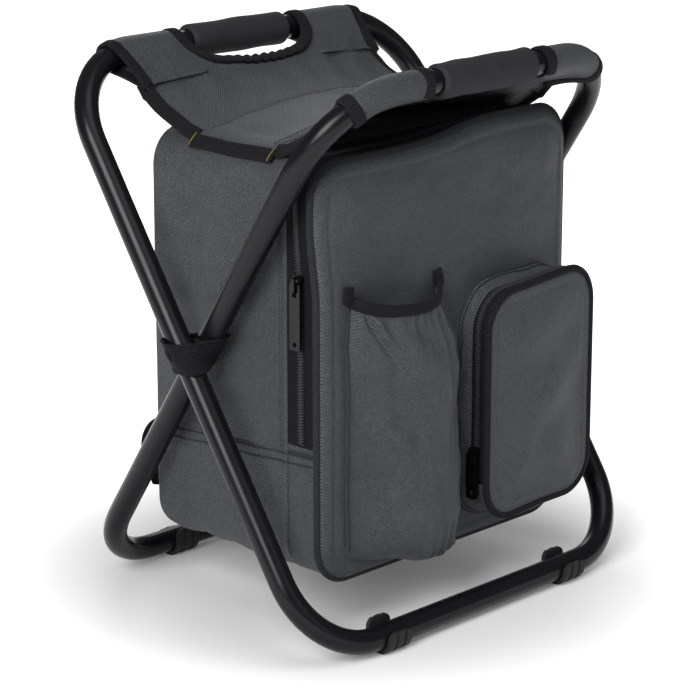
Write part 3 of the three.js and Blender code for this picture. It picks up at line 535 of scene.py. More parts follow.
def swept(line, profile, closed=False, up=None):
    """A closed profile of (side, up) corners swept along a line."""
    _, normal, side = line_frames(line, closed, up)
    rings = line[:, None] + profile[:, :1] * side[:, None] + profile[:, 1:] * normal[:, None]
    if closed:
        return weld(grid_part(np.concatenate([rings, rings[:1]]), wrap=True), FINE)
    part = weld(grid_part(rings, wrap=True), FINE)
    caps = []
    for end in (0, -1):
        ring = rings[end]
        middle = np.broadcast_to(ring.mean(0), ring.shape)
        caps.append(grid_part(np.stack([ring, middle] if end else [middle, ring]), wrap=True))
    return weld(combine(part, *caps), FINE)


def round_profile(radius, sides):
    a = turn_angles(sides)
    return np.stack([np.cos(a), np.sin(a)], -1) * radius


def pushed_out(value, power):
    """A sine or cosine raised to a power with its sign kept, which makes a circle boxy."""
    return np.sign(value) * np.abs(value) ** power


def taped(line, normal, width, thickness):
    """A flat tape with soft edges along a line."""
    a = turn_angles(12) + np.pi / 12
    profile = [pushed_out(np.cos(a), 0.45) * width / 2, pushed_out(np.sin(a), 0.7) * thickness / 2]
    return swept(line, np.stack(profile, -1), False, normal)


THREAD_R = 0.0006


def threads(lines, closed=False):
    """Raised seams: thin dark cords along lines, partly the seam's own stitching and partly painted shade of
    its fold.
    """
    return combine(*(swept(line, round_profile(THREAD_R, 6), closed) for line in lines))


print("sweeps ready")


# %% Even steps, stitches and teeth
def lengths(line):
    """Distance along a line at each of its points."""
    return np.r_[0, np.cumsum(np.linalg.norm(np.diff(line, axis=0), axis=-1))]


def read_at(values, where, at):
    """Rows of values known at some places, read between them."""
    return np.stack([np.interp(at, where, column) for column in values.T], -1)


def spaced(line, step):
    """Points at even steps along a line, and the distance along it at each."""
    length = lengths(line)
    at = np.linspace(0, length[-1], max(2, int(round(length[-1] / step)) + 1))
    return read_at(line, length, at), at


def evened(values, times):
    """Rows of values smoothed along a line; the two ends stay."""
    for _ in range(times):
        middle = (values[:-2] + 2 * values[1:-1] + values[2:]) / 4
        values = np.concatenate([values[:1], middle, values[-1:]])
    return values


def bars(at, axis, across, normal, length, radius, form):
    """A small round bar at each point; the form gives rings as (share of length, share of radius)."""
    a = turn_angles(6)[:, None]
    ring = np.cos(a) * across[:, None] + np.sin(a) * normal[:, None]
    rings = [(at + axis * length * share)[:, None] + radius * wide * ring for share, wide in form]
    return combine(*(grid_part(bar, wrap=True) for bar in np.stack(rings, 1)))


STITCH = 0.003
DASH = ((-0.36, 0.35), (-0.2, 1.0), (0.2, 1.0), (0.36, 0.35))


def stitched(rows, radius):
    """Rows of stitches, each a raised dash that lies on the cloth; a row is a line and its normal."""
    parts = []
    for line, up in rows:
        at, where = spaced(line, STITCH)
        normal = read_at(np.broadcast_to(up, line.shape), lengths(line), where)
        tangent, normal, side = line_frames(at, False, normal)
        parts.append(bars(at, tangent, side, normal, STITCH, radius, DASH))
    return combine(*parts)


TOOTH_PITCH, TOOTH_R = 0.0021, 0.0007
TOOTH = ((-0.5, 0.55), (-0.35, 1.0), (0.35, 1.0), (0.5, 0.55))


def toothed(line, up, length, shift):
    """Zip teeth: a row of short bars across a line, shifted by a share of their pitch."""
    at, where = spaced(line, TOOTH_PITCH)
    tangent, normal, side = line_frames(at, False, read_at(up, lengths(line), where))
    at = at + tangent * TOOTH_PITCH * shift
    return bars(at, side, tangent, normal, length, TOOTH_R, TOOTH)


print("stitch", STITCH, "tooth pitch", TOOTH_PITCH)

# %% [markdown]
# ## Unevenness
# Real cloth is never flat. A sum of sine waves in random directions, drawn from a seed, gives smooth
# folds that are the same on every run. The other curves here make steps, ridges and rounds.


# %% Curves that shape cloth
def ripples(u, v, seed, wave):
    """Smooth seeded unevenness of about unit height, with folds about one wave apart."""
    rng = np.random.default_rng(seed)
    total = np.zeros(np.broadcast(u, v).shape)
    count = 18
    for _ in range(count):
        angle, phase = rng.uniform(0, 2 * np.pi, 2)
        k = 2 * np.pi / (wave * rng.uniform(0.6, 1.9))
        total += np.sin(k * (u * np.cos(angle) + v * np.sin(angle)) + phase)
    return total / math.sqrt(count / 2)


def bump_at(x, centre, width):
    return np.exp(-(((x - centre) / width) ** 2))


def smooth_step(t):
    t = np.clip(t, 0, 1)
    return t * t * (3 - 2 * t)


def rounded(distance, radius):
    """A quarter round: 0 at an edge, 1 from one radius inwards."""
    return np.sqrt(np.clip(1 - (1 - np.clip(distance / radius, 0, 1)) ** 2, 0, 1))


def arc(radius, past):
    """Height of a circle at a distance past its middle."""
    return np.sqrt(np.maximum(0, radius ** 2 - past ** 2))


print("curves ready")

# %% [markdown]
# ## Frame
# Each loop is one bent tube. The CAD tube has few sides, so a smooth one is swept along the same
# centre line, with round bends.

# %% Frame tubes
LOOPS = (  # place of its top bar, body, span, +1 for a top bar at the rear
    ("rear", "outer_frame", OUTER_SPAN, 1),
    ("front", "inner_frame", INNER_SPAN, -1),
)


def leaned(x, reach, side):
    """A point of a loop: x along the bars, reach from the pivot, side +1 for the outer loop."""
    y = side * reach * math.sin(LEAN)
    return np.stack(np.broadcast_arrays(x, y, PIVOT_Z + reach * math.cos(LEAN)), -1)


def loop_line(span, side):
    top, low = span / 2 - TOP_BEND, span / 2 - FLOOR_BEND
    rise, fall = REACH_UP - TOP_BEND, FLOOR_BEND - REACH_DOWN
    flat = []
    for quarter, (x, reach, r) in enumerate(((top, rise, TOP_BEND), (-top, rise, TOP_BEND),
                                             (-low, fall, FLOOR_BEND), (low, fall, FLOOR_BEND))):
        a = np.pi / 2 * (quarter + np.linspace(0, 1, 21))
        flat.append(np.stack([x + r * np.cos(a), reach + r * np.sin(a)], -1))
    flat = np.concatenate(flat + [flat[0][:1]])
    dense = np.concatenate([np.linspace(a, b, max(2, int(np.linalg.norm(b - a) / 0.02) + 1))[:-1]
                            for a, b in zip(flat, flat[1:])])
    return leaned(dense[:, 0], dense[:, 1], side)


for _, body, span, side in LOOPS:
    across = np.array([0.0, -side * math.cos(LEAN), math.sin(LEAN)])
    line = loop_line(span, side)
    part = swept(line, round_profile(TUBE_R, 32), True, np.broadcast_to(across, line.shape))
    tube = piece(body + "_loop", part, frame_paint, body, [body + "_tube"])
    print(tube.name, len(tube.data.vertices), "points")

# %% [markdown]
# ## Grips
# A foam sleeve sits in the middle of each top bar. It is a lathe shape, a profile turned round the
# bar, but with a slightly lumpy radius, soft ends and one glued seam underneath.

# %% Grips
GRIP_HALF, GRIP_R, GRIP_BORE, GRIP_EDGE = 0.049, 0.01275, 0.0093, 0.003
edge = np.linspace(0, np.pi / 2, 6)
end_x = GRIP_HALF - GRIP_EDGE * (1 - np.cos(edge))
end_r = GRIP_R - GRIP_EDGE * (1 - np.sin(edge))
straight = np.linspace(0.005 - GRIP_HALF, GRIP_HALF - 0.005, 30)
xs = np.concatenate([-end_x, straight, end_x[::-1]])[:, None]
rs = np.concatenate([end_r, np.full(30, GRIP_R), end_r[::-1]])[:, None]
a = turn_angles(40)
seam = 0.0007 * bump_at(a, 4.6, 0.05) * (np.abs(xs) < GRIP_HALF - 0.001)
bore = np.full((1, 40), GRIP_BORE)
for seed, (name, body, _, side) in enumerate(LOOPS, 3):
    lumps = 0.00022 * ripples(xs, 0.0127 * a, seed, 0.03)
    radius = np.concatenate([bore, rs + lumps - seam, bore])
    centre = leaned(np.concatenate([[-GRIP_HALF], xs[:, 0], [GRIP_HALF]]), REACH_UP, side)[:, None]
    rings = centre + radius[..., None] * np.stack([0 * a, np.cos(a), np.sin(a)], -1)
    part = weld(grid_part(np.concatenate([rings, rings[:1]]), wrap=True), FINE)
    made = piece(name + "_grip_foam", part, grip_foam, body, ["grip_" + name])
    print(made.name, len(made.data.vertices), "points")

# %% [markdown]
# ## Hard pieces
# Feet, rivets, spacers, buckles and sliders already have their true shape in the CAD model. A bevel
# modifier gives them the small round edge that moulded and cast pieces have, which catches the light.


# %% Hard CAD pieces with a soft edge
def soften(target, material, width):
    target.data.materials.clear()
    target.data.materials.append(material)
    target.data.polygons.foreach_set("use_smooth", np.ones(len(target.data.polygons), bool))
    edge = target.modifiers.new("soft_edge", "BEVEL")
    edge.width, edge.segments = width, 2
    edge.limit_method, edge.angle_limit = "ANGLE", math.radians(35)
    edge.harden_normals = True


EDGES = (("foot_", foot_rubber, 0.0004), ("rivet_", bare_steel, 0.0002),
         ("spacer_", nylon, 0.0004), ("strap_buckle", nylon, 0.0004),
         ("_zip_slider", dark_metal, 0.0003), ("_zip_pull", dark_metal, 0.0003))
for name in nodes:
    for mark, material, width in EDGES:
        if mark in name:
            soften(nodes[name], material, width)
            print("softened", name)

# %% [markdown]
# ## Sling seat
# One cloth sling hangs between the two top bars. At each bar it is folded into a loop, a teardrop
# in section, and sewn along a hem. A U-shaped notch leaves the grip free. The cloth is drawn section by
# section: at each place along the bar we know the bar's centre and the seam that the cloth runs to.

# %% Seat sections
HEM, SEAT_CLOTH = 0.040, 0.0016
SEAM_OUT = SEAM_Y + 0.0003
# Where the straight cloth touches the round of the sleeve: down the slope, and above it.
TOUCH = np.array([0.00297, 0.01049])


def bag_top(x):
    return BAG_TOP - BAG_R + arc(BAG_R, np.maximum(0, np.abs(x) - (BAG_HALF - BAG_R)))


def underside(x):
    return 0.0003 + np.maximum(bag_top(x), bag_top(WAIST_X) + 0.017 * (1 - (x / WAIST_X) ** 2))


def section(x, span, side):
    """The bar's centre at x, its tangent, the way down the slope, the way up from it, and two lengths."""
    x = np.asarray(x, float)
    turn = np.arcsin(np.maximum(0, np.abs(x) - (span / 2 - TOP_BEND)) / TOP_BEND)
    centre = leaned(x, REACH_UP - TOP_BEND * (1 - np.cos(turn)), side)
    fall = -np.sign(x) * np.sin(turn)
    along = np.stack([np.cos(turn), side * fall * math.sin(LEAN), fall * math.cos(LEAN)], -1)
    inner = np.minimum(np.abs(x), CUTOUT_X)
    end_x = np.sign(x) * (inner + (np.abs(x) - inner) * (WAIST_X - CUTOUT_X) / (SLEEVE_END - CUTOUT_X))
    seam = np.stack([end_x, np.full_like(x, side * SEAM_OUT), underside(end_x) + 0.001], -1)
    slip = ((seam - centre) * along).sum(-1, keepdims=True)
    down = seam - centre - slip * along
    length = np.linalg.norm(down, axis=-1, keepdims=True)
    down = down / length
    up = np.cross(along, down)
    return centre, along, down, up * np.sign(up[..., 2:]), length[..., 0], slip[..., 0]


def on_slope(x, a, b, span, side):
    """Points at distance a down the slope and b above it."""
    centre, along, down, up, length, slip = section(x, span, side)
    drift = slip * smooth_step((a - 0.010) / (length - 0.010))
    return centre + a[..., None] * down + b[..., None] * up + drift[..., None] * along


def sheet_height(x, a, span, side):
    """Height of the upper cloth: straight from the loop to the hem, then a gentle sag to the seam."""
    length = section(x, span, side)[4]
    loop = TOUCH[1] * np.clip((HEM - a) / (HEM - TOUCH[0]), 0, 1)
    sag = 0.0035 * np.sin(np.pi * np.clip((a - 0.02) / (length - 0.02), 0, 1))
    free = smooth_step(a / 0.05) * smooth_step((length - a) / 0.02)
    pull = 0.0007 * ripples(x, a, 21 + side, 0.045) * free
    crease = 0.0012 * bump_at(a, HEM + 0.002, 0.0016) * (np.abs(x) > 0.066)
    return loop - sag + pull - crease


def on_cloth(x, a, lift, span, side):
    """Points on the upper cloth, lifted a little off it."""
    return on_slope(x, a, sheet_height(x, a, span, side) + lift, span, side)


print("hem", HEM, "slope at the middle", section(0.0, OUTER_SPAN, 1)[4].round(4))


# %% Notch under each grip
def notch(x, half, depth):
    """Where the cloth begins below the bar: at the loop, or lower, at the edge of the notch."""
    return TOUCH[0] + depth * np.sqrt(np.maximum(0, 1 - (np.abs(x) / half) ** 3))


def ruffle(x):
    """The edge of the notch is drawn up by its binding into small waves."""
    return 0.0011 * np.sin(x * 700) * bump_at(x, 0, 0.03)


def loop_angles(count):
    """Angles round the bar from where the upper cloth meets it to where the lower cloth leaves it."""
    lead = math.atan2(TOUCH[1], TOUCH[0])
    return np.linspace(lead, 2 * np.pi - lead, count)


NOTCH = (CUTOUT_X, CUTOUT_DEPTH + 0.0112)
BINDING = (CUTOUT_X + 0.0035, CUTOUT_DEPTH + 0.0140)
print("notch", NOTCH, "binding", BINDING)

# %% [markdown]
# ## Slopes with their sleeves
# Each slope is one grid from the notch to the cross seam, with a strip of lining below it, and two more
# grids for the sleeves round the bar. Welded together they are one cloth. Its upper part is held by the
# bar and its lower part by the seat's own body.


# %% Slopes
def slope_part(span, side):
    edge = CUTOUT_X * np.sin(np.linspace(-1, 1, 61) * np.pi / 2)
    outer = np.linspace(CUTOUT_X, SLEEVE_END, 34)
    xs = np.concatenate([-outer[::-1], edge[1:-1], outer])
    length, begin = section(xs, span, side)[4], notch(xs, *NOTCH)
    a = begin + np.linspace(0, 1, 44)[:, None] ** 1.15 * (length - begin)
    x = np.broadcast_to(xs, a.shape)
    points = on_cloth(x, a, ruffle(x) * np.exp(-(a - begin) / 0.007), span, side)
    ends = points[-1, :, 0]
    steps = np.linspace(0, 1, 9)[1:, None]
    run = steps * (0.022 + 0.006 * (ends / WAIST_X) ** 2)
    lining = np.stack(np.broadcast_arrays(ends, side * (SEAM_OUT - run), underside(ends) - 0.0004), -1)
    flat = np.concatenate([flat_map(x, a), flat_map(xs, length + run)])
    parts = [grid_part(np.concatenate([points, lining]), flat)]
    turn = loop_angles(30)[:, None]
    a = np.concatenate([SLEEVE_R * np.cos(turn), TOUCH[0] + steps * (HEM - TOUCH[0])])
    b = np.concatenate([SLEEVE_R * np.sin(turn), -TOUCH[1] + steps * (TOUCH[1] - SEAT_CLOTH)])
    for half in (-outer[::-1], outer):
        x, a2, b2 = np.broadcast_arrays(half, a, b)
        sleeve = on_slope(x, a2, b2, span, side)
        flat = flat_map(half, -0.0022 * np.arange(1, len(a) + 1)[:, None])
        parts.append(grid_part(sleeve[::-1], flat[::-1]))
    return thicken(turned_out(weld(combine(*parts)), (0, side * 0.07, 0.2)), SEAT_CLOTH)


def blended_slope(made, span, side):
    centre, _, down, _, _, _ = section(0.0, span, side)
    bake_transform(made)


slopes = {}
for name, frame_body, span, side in LOOPS:
    held = [n for n in nodes if n.startswith("sleeve_" + name)] + ["seat_" + name]
    made = piece(f"seat_{name}_cloth", slope_part(span, side), grey_cloth, None, held)
    blended_slope(made, span, side)
    slopes[name] = made
    print(made.name, len(made.data.vertices), "points, stands for", held)

# %% [markdown]
# ## Bindings of the seat
# Every raw edge of the sling is covered with black tape: round the notch and the inner ends of the
# sleeves, round the outer ends, and down the two side edges. Each is a tape swept along the cloth's own
# edge, so it uses the same section functions.


# %% Lines of the bindings
def teardrop(x, span, side):
    """The loop of cloth round the bar at x, from the hem over the bar and back under it to the hem."""
    turn = loop_angles(40)
    top = np.linspace(0, 1, 12)[:-1]
    low = top[::-1]
    a = np.concatenate([HEM + top * (TOUCH[0] - HEM), SLEEVE_R * np.cos(turn), HEM + low * (TOUCH[0] - HEM)])
    b = np.concatenate([top * TOUCH[1], SLEEVE_R * np.sin(turn), -0.0015 - low * (TOUCH[1] - 0.0015)])
    xs = np.full_like(a, x)
    _, _, down, up, _, _ = section(xs, span, side)
    rise = np.concatenate([np.tile(unit(np.array([TOUCH[1], HEM])), (len(top), 1)),
                           np.stack([np.cos(turn), np.sin(turn)], -1),
                           np.tile(unit(np.array([TOUCH[1], -HEM])), (len(low), 1))])
    return on_slope(xs, a, b, span, side), rise[:, :1] * down + rise[:, 1:] * up


OVER_BAR = slice(11, 44)  # a teardrop's points from the top of the bar to well under it


def notch_binding(span, side):
    """Tape over the inner end of one sleeve, along the notch and over the other sleeve's end."""
    left, right = ([values[OVER_BAR] for values in teardrop(end * BINDING[0], span, side)] for end in (-1, 1))
    xs = (CUTOUT_X + 0.0022) * np.sin(np.linspace(-1, 1, 71) * np.pi / 2)
    a = notch(xs, *BINDING)
    line = np.concatenate([left[0][::-1], on_cloth(xs, a, 0, span, side), right[0]])
    normal = np.concatenate([left[1][::-1], section(xs, span, side)[3], right[1]])
    even, where = spaced(line, 0.0016)
    normal = evened(read_at(normal, lengths(line), where), 10)
    even = evened(even, 10)
    return taped(even + normal * ruffle(even[:, :1]), normal, 0.0094, 0.0034)


def side_tape(x, span, side):
    a = np.linspace(HEM - 0.006, float(section(x, span, side)[4]) - 0.001, 40)
    xs = np.full_like(a, x)
    _, along, _, up, _, _ = section(xs, span, side)
    normal = unit(up + 0.55 * np.sign(x) * along)
    return taped(on_cloth(xs, a, -0.0004, span, side), normal, 0.0110, 0.0034)


print("points of a teardrop", len(teardrop(SLEEVE_END, OUTER_SPAN, 1)[0]))

# %% Seat bindings and hem stitches
for name, frame_body, span, side in LOOPS:
    parts, rows = [notch_binding(span, side)], []
    for end in (-1, 1):
        line, normal = teardrop(end * (SLEEVE_END - 0.0025), span, side)
        parts.append(taped(line - 0.0006 * normal, normal, 0.0095, 0.0032))
        parts.append(side_tape(end * (SLEEVE_END - 0.0010), span, side))
        xs = end * np.linspace(0.068, SLEEVE_END - 0.006, 30)
        a = np.full_like(xs, HEM + 0.0005)
        rows.append((on_cloth(xs, a, 0.0002, span, side), section(xs, span, side)[3]))
    part = combine(*parts)
    made = piece(f"seat_{name}_tapes", part, black_tape, None, [f"seat_{name}_binding"])
    hem = piece(f"seat_{name}_hem", stitched(rows, 0.00045), grey_thread)
    for sewn in (made, hem):
        blended_slope(sewn, span, side)
    cloth = slopes[name]
    print(made.name, hem.name)

# %% [markdown]
# ## Middle of the seat
# Between the two cross seams the sling is a double strip that lies over the bag. It closes up as
# the frame folds; here it simply rides on the bag. Black tape covers its ends, and a
# yellow bar of stitches holds each corner.


# %% Middle strip
STRIP_CLOTH, STRIP_LIFT = 0.0018, 0.0021
END_TURN = math.radians(47)


def strip_height(x, y):
    crease = 0.0011 * (bump_at(y, SEAM_Y, 0.0022) + bump_at(y, -SEAM_Y, 0.0022))
    wave = 0.0006 * ripples(x, y, 31, 0.05) * smooth_step((SEAM_Y - np.abs(y)) / 0.012)
    return underside(x) + STRIP_LIFT - crease + wave


def on_shoulder(end, turn, y, lift):
    """Points over the bag's round upper edge, at an angle of its arc."""
    ring = BAG_R + lift
    x = end * (BAG_HALF - BAG_R + ring * np.cos(turn))
    return np.stack([x, y, BAG_TOP - BAG_R + ring * np.sin(turn)], -1)


x, y = np.meshgrid(WAIST_X * np.sin(np.linspace(-1, 1, 110) * np.pi / 2),
                   np.linspace(-SEAM_Y - 0.0006, SEAM_Y + 0.0006, 44))
part = cloth_part(np.stack([x, y, strip_height(x, y)], -1), flat_map(x, y), (0, 0, 0), STRIP_CLOTH)
seat_middle = piece("seat_middle_cloth", part, grey_cloth, "bag", ["seat_middle"])

tapes, tacks, rows = [], [], []
y = np.linspace(-SEAM_Y - 0.003, SEAM_Y + 0.003, 40)
turn = END_TURN - 0.04 * bump_at(y, 0, 0.02)
across = np.linspace(-1, 1, 13)
x = np.linspace(-WAIST_X + 0.006, WAIST_X - 0.006, 60)
for end in (-1, 1):
    normal = np.stack([end * np.cos(turn), 0 * y, np.sin(turn)], -1)
    tapes.append(taped(on_shoulder(end, turn, y, 0.0022), normal, 0.0114, 0.0030))
    for side in (-1, 1):
        zigzag = side * (SEAM_Y + 0.001) + 0.0005 * np.sin(across * 19)
        line = on_shoulder(end, END_TURN - 0.19 * across, zigzag, 0.0040)
        tacks.append(swept(line, round_profile(0.0004, 6)))
for side in (-1, 1):
    for gap in (0.0, 0.0052):
        seam_y = np.full_like(x, side * (SEAM_Y - gap - 0.001))
        rows.append((np.stack([x, seam_y, strip_height(x, seam_y) + 0.0002], -1), [0.0, 0, 1]))
end_tapes = piece("seat_end_tapes", combine(*tapes), black_tape, "bag", ())
bartacks = piece("seat_bartacks", combine(*tacks), yellow_thread, "bag")
seams = piece("seat_seam_stitches", stitched(rows, 0.0004), grey_thread, "bag")
for made in (seat_middle, end_tapes, bartacks, seams):
    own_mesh(made)
print("middle strip", len(seat_middle.data.vertices), "points")

# %% [markdown]
# ## Outlines of the bag and its pockets
# The bag, its inner layers, the front panel and the zip pocket all have the same kind of outline: a
# rectangle with round corners. One function gives points round it, one the distance from its edge,
# and one a grid that fills it. A shape is (middle, half width, low, high, corner radius).


# %% Outlines
def outline(middle, half, low, high, radius, count):
    """Even stations round an outline from the middle of its lower side: (x, z, normal), and lengths."""
    line = [(0.0, low)]
    corners = ((1, low + radius), (1, high - radius), (-1, high - radius), (-1, low + radius))
    for quarter, (side, z) in enumerate(corners, -1):
        a = np.pi / 2 * (quarter + np.linspace(0, 1, 25))
        line.extend(zip(side * (half - radius) + radius * np.cos(a), z + radius * np.sin(a)))
    line = np.array(line + [(0.0, low)])
    length = lengths(line)
    at = np.arange(count) / count * length[-1]
    x, z = np.interp(at, length, line[:, 0]), np.interp(at, length, line[:, 1])
    nx = x - np.clip(x, radius - half, half - radius)
    nz = z - np.clip(z, low + radius, high - radius)
    size = np.hypot(nx, nz)
    return (x + middle, z, nx / size, nz / size), at


def raised(ring, y, off):
    """Points at a depth y, some way outside an outline."""
    x, z, nx, nz = ring
    return np.stack(np.broadcast_arrays(x + nx * off, y, z + nz * off), -1)


def ring_normal(ring):
    return np.stack([ring[2], 0 * ring[2], ring[3]], -1)


def inside_edge(x, z, middle, half, low, high, radius):
    """Distance inwards from the edge of an outline."""
    qx = np.abs(x - middle) - (half - radius)
    qz = np.abs(z - (low + high) / 2) - ((high - low) / 2 - radius)
    return radius - np.hypot(np.maximum(qx, 0), np.maximum(qz, 0)) - np.minimum(np.maximum(qx, qz), 0)


def face_grid(middle, half, low, high, radius, columns, rows):
    """Places (x, z) over an outline, closer together near its edge."""
    v = np.sin(np.linspace(-1, 1, rows) * np.pi / 2)[:, None]
    even = np.linspace(-1, 1, columns)
    u = 0.35 * even + 0.65 * np.sin(even * np.pi / 2)
    z = (low + high) / 2 + v * (high - low) / 2
    past = np.maximum(0, np.abs(z - (low + high) / 2) - ((high - low) / 2 - radius))
    return middle + u * (half - radius + arc(radius, past)), z + 0 * u


def inset(amount):
    """The bag's outline, smaller by an amount all round."""
    return (0.0, BAG_HALF - amount, BAG_FLOOR + amount, BAG_TOP - amount, BAG_R - amount)


BAG = inset(0)
BAG_INSIDE = (0, 0, 0.2)
bag_ring, bag_s = outline(*BAG, 280)
print("bag outline", [round(v, 4) for v in BAG])

# %% [markdown]
# ## Cool bag
# The bag is a soft box: a ring of cloth runs round it from the back to the zip, and a separate panel
# closes the back. Drawn as a plain box it would look like card, so the ring swells between its
# edges, dips at its seam and carries shallow uneven folds.

# %% Swell and folds of the bag
ZIP_EDGE, FRONT_SEAM = -0.0620, -0.0915
REAR_ROLL = 0.0040


def side_seam(y):
    """Height of the slanting seam across the bag's sides."""
    return 0.136 + (0.051 - y) * 0.046


def seam_dip(below):
    return 0.0010 * bump_at(below, 0.0006, 0.0014)


def body_offset(x, z, nx, y):
    """How far the cloth stands out from the bag's outline."""
    side = smooth_step((np.abs(nx) - 0.75) / 0.25)
    rise = np.clip((z - BAG_FLOOR - BAG_R) / (BAG_TOP - BAG_FLOOR - 2 * BAG_R), 0, 1)
    depth = np.clip((y - ZIP_EDGE) / (BACK_Y - ZIP_EDGE), 0, 1)
    free = np.sin(np.pi * depth) ** 0.6
    swell = 0.0032 * np.sin(np.pi * rise) * np.sin(np.pi * depth) * side
    folds = 0.0010 * ripples(y + x * 0.4, 0.4 * z, 41, 0.05) + 0.0006 * ripples(y, z + x, 42, 0.028)
    below = z - side_seam(y)
    out = swell + folds * free + side * (0.0004 * smooth_step(-below / 0.001) - seam_dip(below))
    fall = np.clip((BAG_TOP - z) / 0.055, 0, 1)
    under_seat = 0.0022 * side * (1 - fall) * (z < BAG_TOP - 0.004)
    for seam in (SEAM_Y + 0.002, -SEAM_Y - 0.002):
        out = out - under_seat * bump_at(y, seam - 0.004 * fall, 0.0035 + 0.006 * fall)
    hem = 0.0007 * bump_at(y, ZIP_EDGE + 0.002, 0.003) - 0.0006 * bump_at(y, ZIP_EDGE + 0.0065, 0.0018)
    return out + hem - REAR_ROLL * (1 - rounded(BACK_Y - y, REAR_ROLL))


def front_slack(points):
    """The front's upper edge isn't quite straight: it dips on the left and rises on the right."""
    x, y, z = points[..., 0], points[..., 1], points[..., 2]
    near = smooth_step((-0.058 - y) / 0.03)
    rise = (0.0055 * np.tanh((x - 0.008) / 0.030) - 0.0005) * smooth_step((z - BAG_TOP + 0.055) / 0.055)
    back = 0.006 * smooth_step((z - 0.25) / 0.06) * smooth_step((-x - 0.09) / 0.04)
    return points + np.stack([0 * x, back * near, rise * near], -1)


print("side seam from", round(side_seam(BACK_Y), 4), "to", round(side_seam(ZIP_EDGE), 4))

# %% Bag body
CLOTH = 0.0015
x, z, nx, _ = bag_ring
floor_part = smooth_step((0.100 - np.abs(x)) / 0.006) * (z < BAG_FLOOR + 0.002)
front_edge = ZIP_EDGE + floor_part * (-0.090 - ZIP_EDGE)
share = np.r_[0.05 * np.linspace(0, 1, 10)[:-1] ** 2, np.linspace(0.05, 0.9, 40), np.linspace(0.9, 1, 14)[1:]]
y = BACK_Y + share[:, None] * (front_edge - BACK_Y)
points = raised(bag_ring, y, body_offset(x, z, nx, y))
points[..., 2] -= 0.0012 * (z < BAG_FLOOR + 0.001) * np.sin(np.pi * np.clip((x + 0.1) / 0.2, 0, 1))
ring = cloth_part(points, flat_map(y, bag_s), BAG_INSIDE, CLOTH, wrap=True)
BACK = inset(0.0034)
gx, gz = face_grid(*BACK, 70, 84)
d = inside_edge(gx, gz, *BACK)
folds = 0.0008 * ripples(gx, gz, 43, 0.06) * smooth_step(d / 0.03)
gy = BACK_Y + 0.0004 + 0.003 * smooth_step(d / 0.07) + folds
back = cloth_part(np.stack([gx, gy, gz], -1), flat_map(gx, gz), BAG_INSIDE, CLOTH)
bag_body = piece("bag_cloth", combine(ring, back), grey_cloth, "bag", ["bag_shell"])
print(bag_body.name, len(bag_body.data.vertices), "points")

# %% [markdown]
# ## Seams of the bag
# Two rows of stitches run beside each end of the zip, and a slanting seam with two more lines below it
# crosses each side. These lines are dark cords: partly the seam's stitching, partly painted shade of its
# fold. They follow the same offset as the cloth, so they lie on it everywhere.

# %% Seams of the bag body
SEAM_GAPS = (0.0, 0.0021, 0.0085)


def on_side(end, y, z, lift):
    """Points on the bag's left or right side, lifted off its cloth."""
    y, z = np.broadcast_arrays(y, z)
    off = body_offset(end * BAG_HALF + 0 * z, z, end + 0 * z, y)
    return np.stack([end * (BAG_HALF + off + lift), y, z], -1)


rows, lines = [], []
z = np.linspace(ZIP_END_Z - 0.002, BAG_TOP - BAG_R, 90)
y = np.linspace(BACK_Y - 0.004, ZIP_EDGE + 0.001, 60)
for end in (-1, 1):
    for gap in (0.0045, 0.0080):
        rows.append((on_side(end, ZIP_EDGE + gap, z, 0.0001), [float(end), 0, 0]))
    for gap in SEAM_GAPS:
        lines.append(on_side(end, y, side_seam(y) - gap, 0.0002))
bag_stitches = piece("bag_stitches", stitched(rows, 0.0004), grey_thread, "bag")
bag_seams = piece("bag_side_seams", threads(lines), seam_thread_and_shade, "bag")
print(bag_stitches.name, len(rows), "rows;", bag_seams.name, len(lines), "lines")

# %% [markdown]
# ## Inside of the bag
# Behind the cloth lie a foam layer and a crinkled foil liner. They only show when the front is open,
# so each is a simple ring with a back, a little uneven.


# %% Foam and foil
def inner_tub(amount, thickness, wave, seed):
    shape = inset(amount)
    back_y = BACK_Y - amount - 0.0005
    ring, s = outline(*shape, 150)
    y = np.linspace(back_y, ZIP_Y + 0.001, 34)[:, None]
    points = raised(ring, y, -np.abs(wave * ripples(s, 2.0 * y, seed, 0.035)))
    tub = cloth_part(points, flat_map(y, s), BAG_INSIDE, thickness, wrap=True)
    gx, gz = face_grid(*shape, 50, 60)
    free = smooth_step(inside_edge(gx, gz, *shape) / 0.02)
    gy = back_y - np.abs(wave * ripples(gx, gz, seed + 1, 0.035)) * free
    return combine(tub, cloth_part(np.stack([gx, gy, gz], -1), flat_map(gx, gz), BAG_INSIDE, thickness))


def inner_lid(amount, thickness, wave, seed):
    shape = inset(amount)
    gx, gz = face_grid(*shape, 60, 72)
    d = inside_edge(gx, gz, *shape)
    roll = 0.010 * (1 - rounded(d, 0.010))
    gy = FACE_Y + amount + roll + np.abs(wave * ripples(gx, gz, seed, 0.035)) * smooth_step(d / 0.02)
    return cloth_part(front_slack(np.stack([gx, gy, gz], -1)), flat_map(gx, gz), BAG_INSIDE, thickness)


part = inner_tub(0.0045, 0.0034, 0.0001, 51)
foam = piece("bag_foam", part, grip_foam, "bag", ["bag_insulation"])
part = inner_tub(0.0083, 0.0008, 0.0008, 53)
foil = piece("bag_foil", part, foil_film, "bag", ["bag_liner"])
part = inner_lid(0.0040, 0.0038, 0.0001, 55)
lid_foam = piece("front_foam", part, grip_foam, "front_flap", ["front_insulation"])
part = inner_lid(0.0083, 0.0008, 0.0008, 57)
lid_foil = piece("front_foil", part, foil_film, "front_flap", ["front_liner"])
print("inside", foam.name, foil.name, lid_foam.name, lid_foil.name)

# %% [markdown]
# ## Front panel
# The panel is soft foam between two cloths, so it is a low cushion: its edge rolls back to the
# piping and its middle stands proud. The distance from the edge drives both, and the same function
# tells the pockets where the panel's surface is.


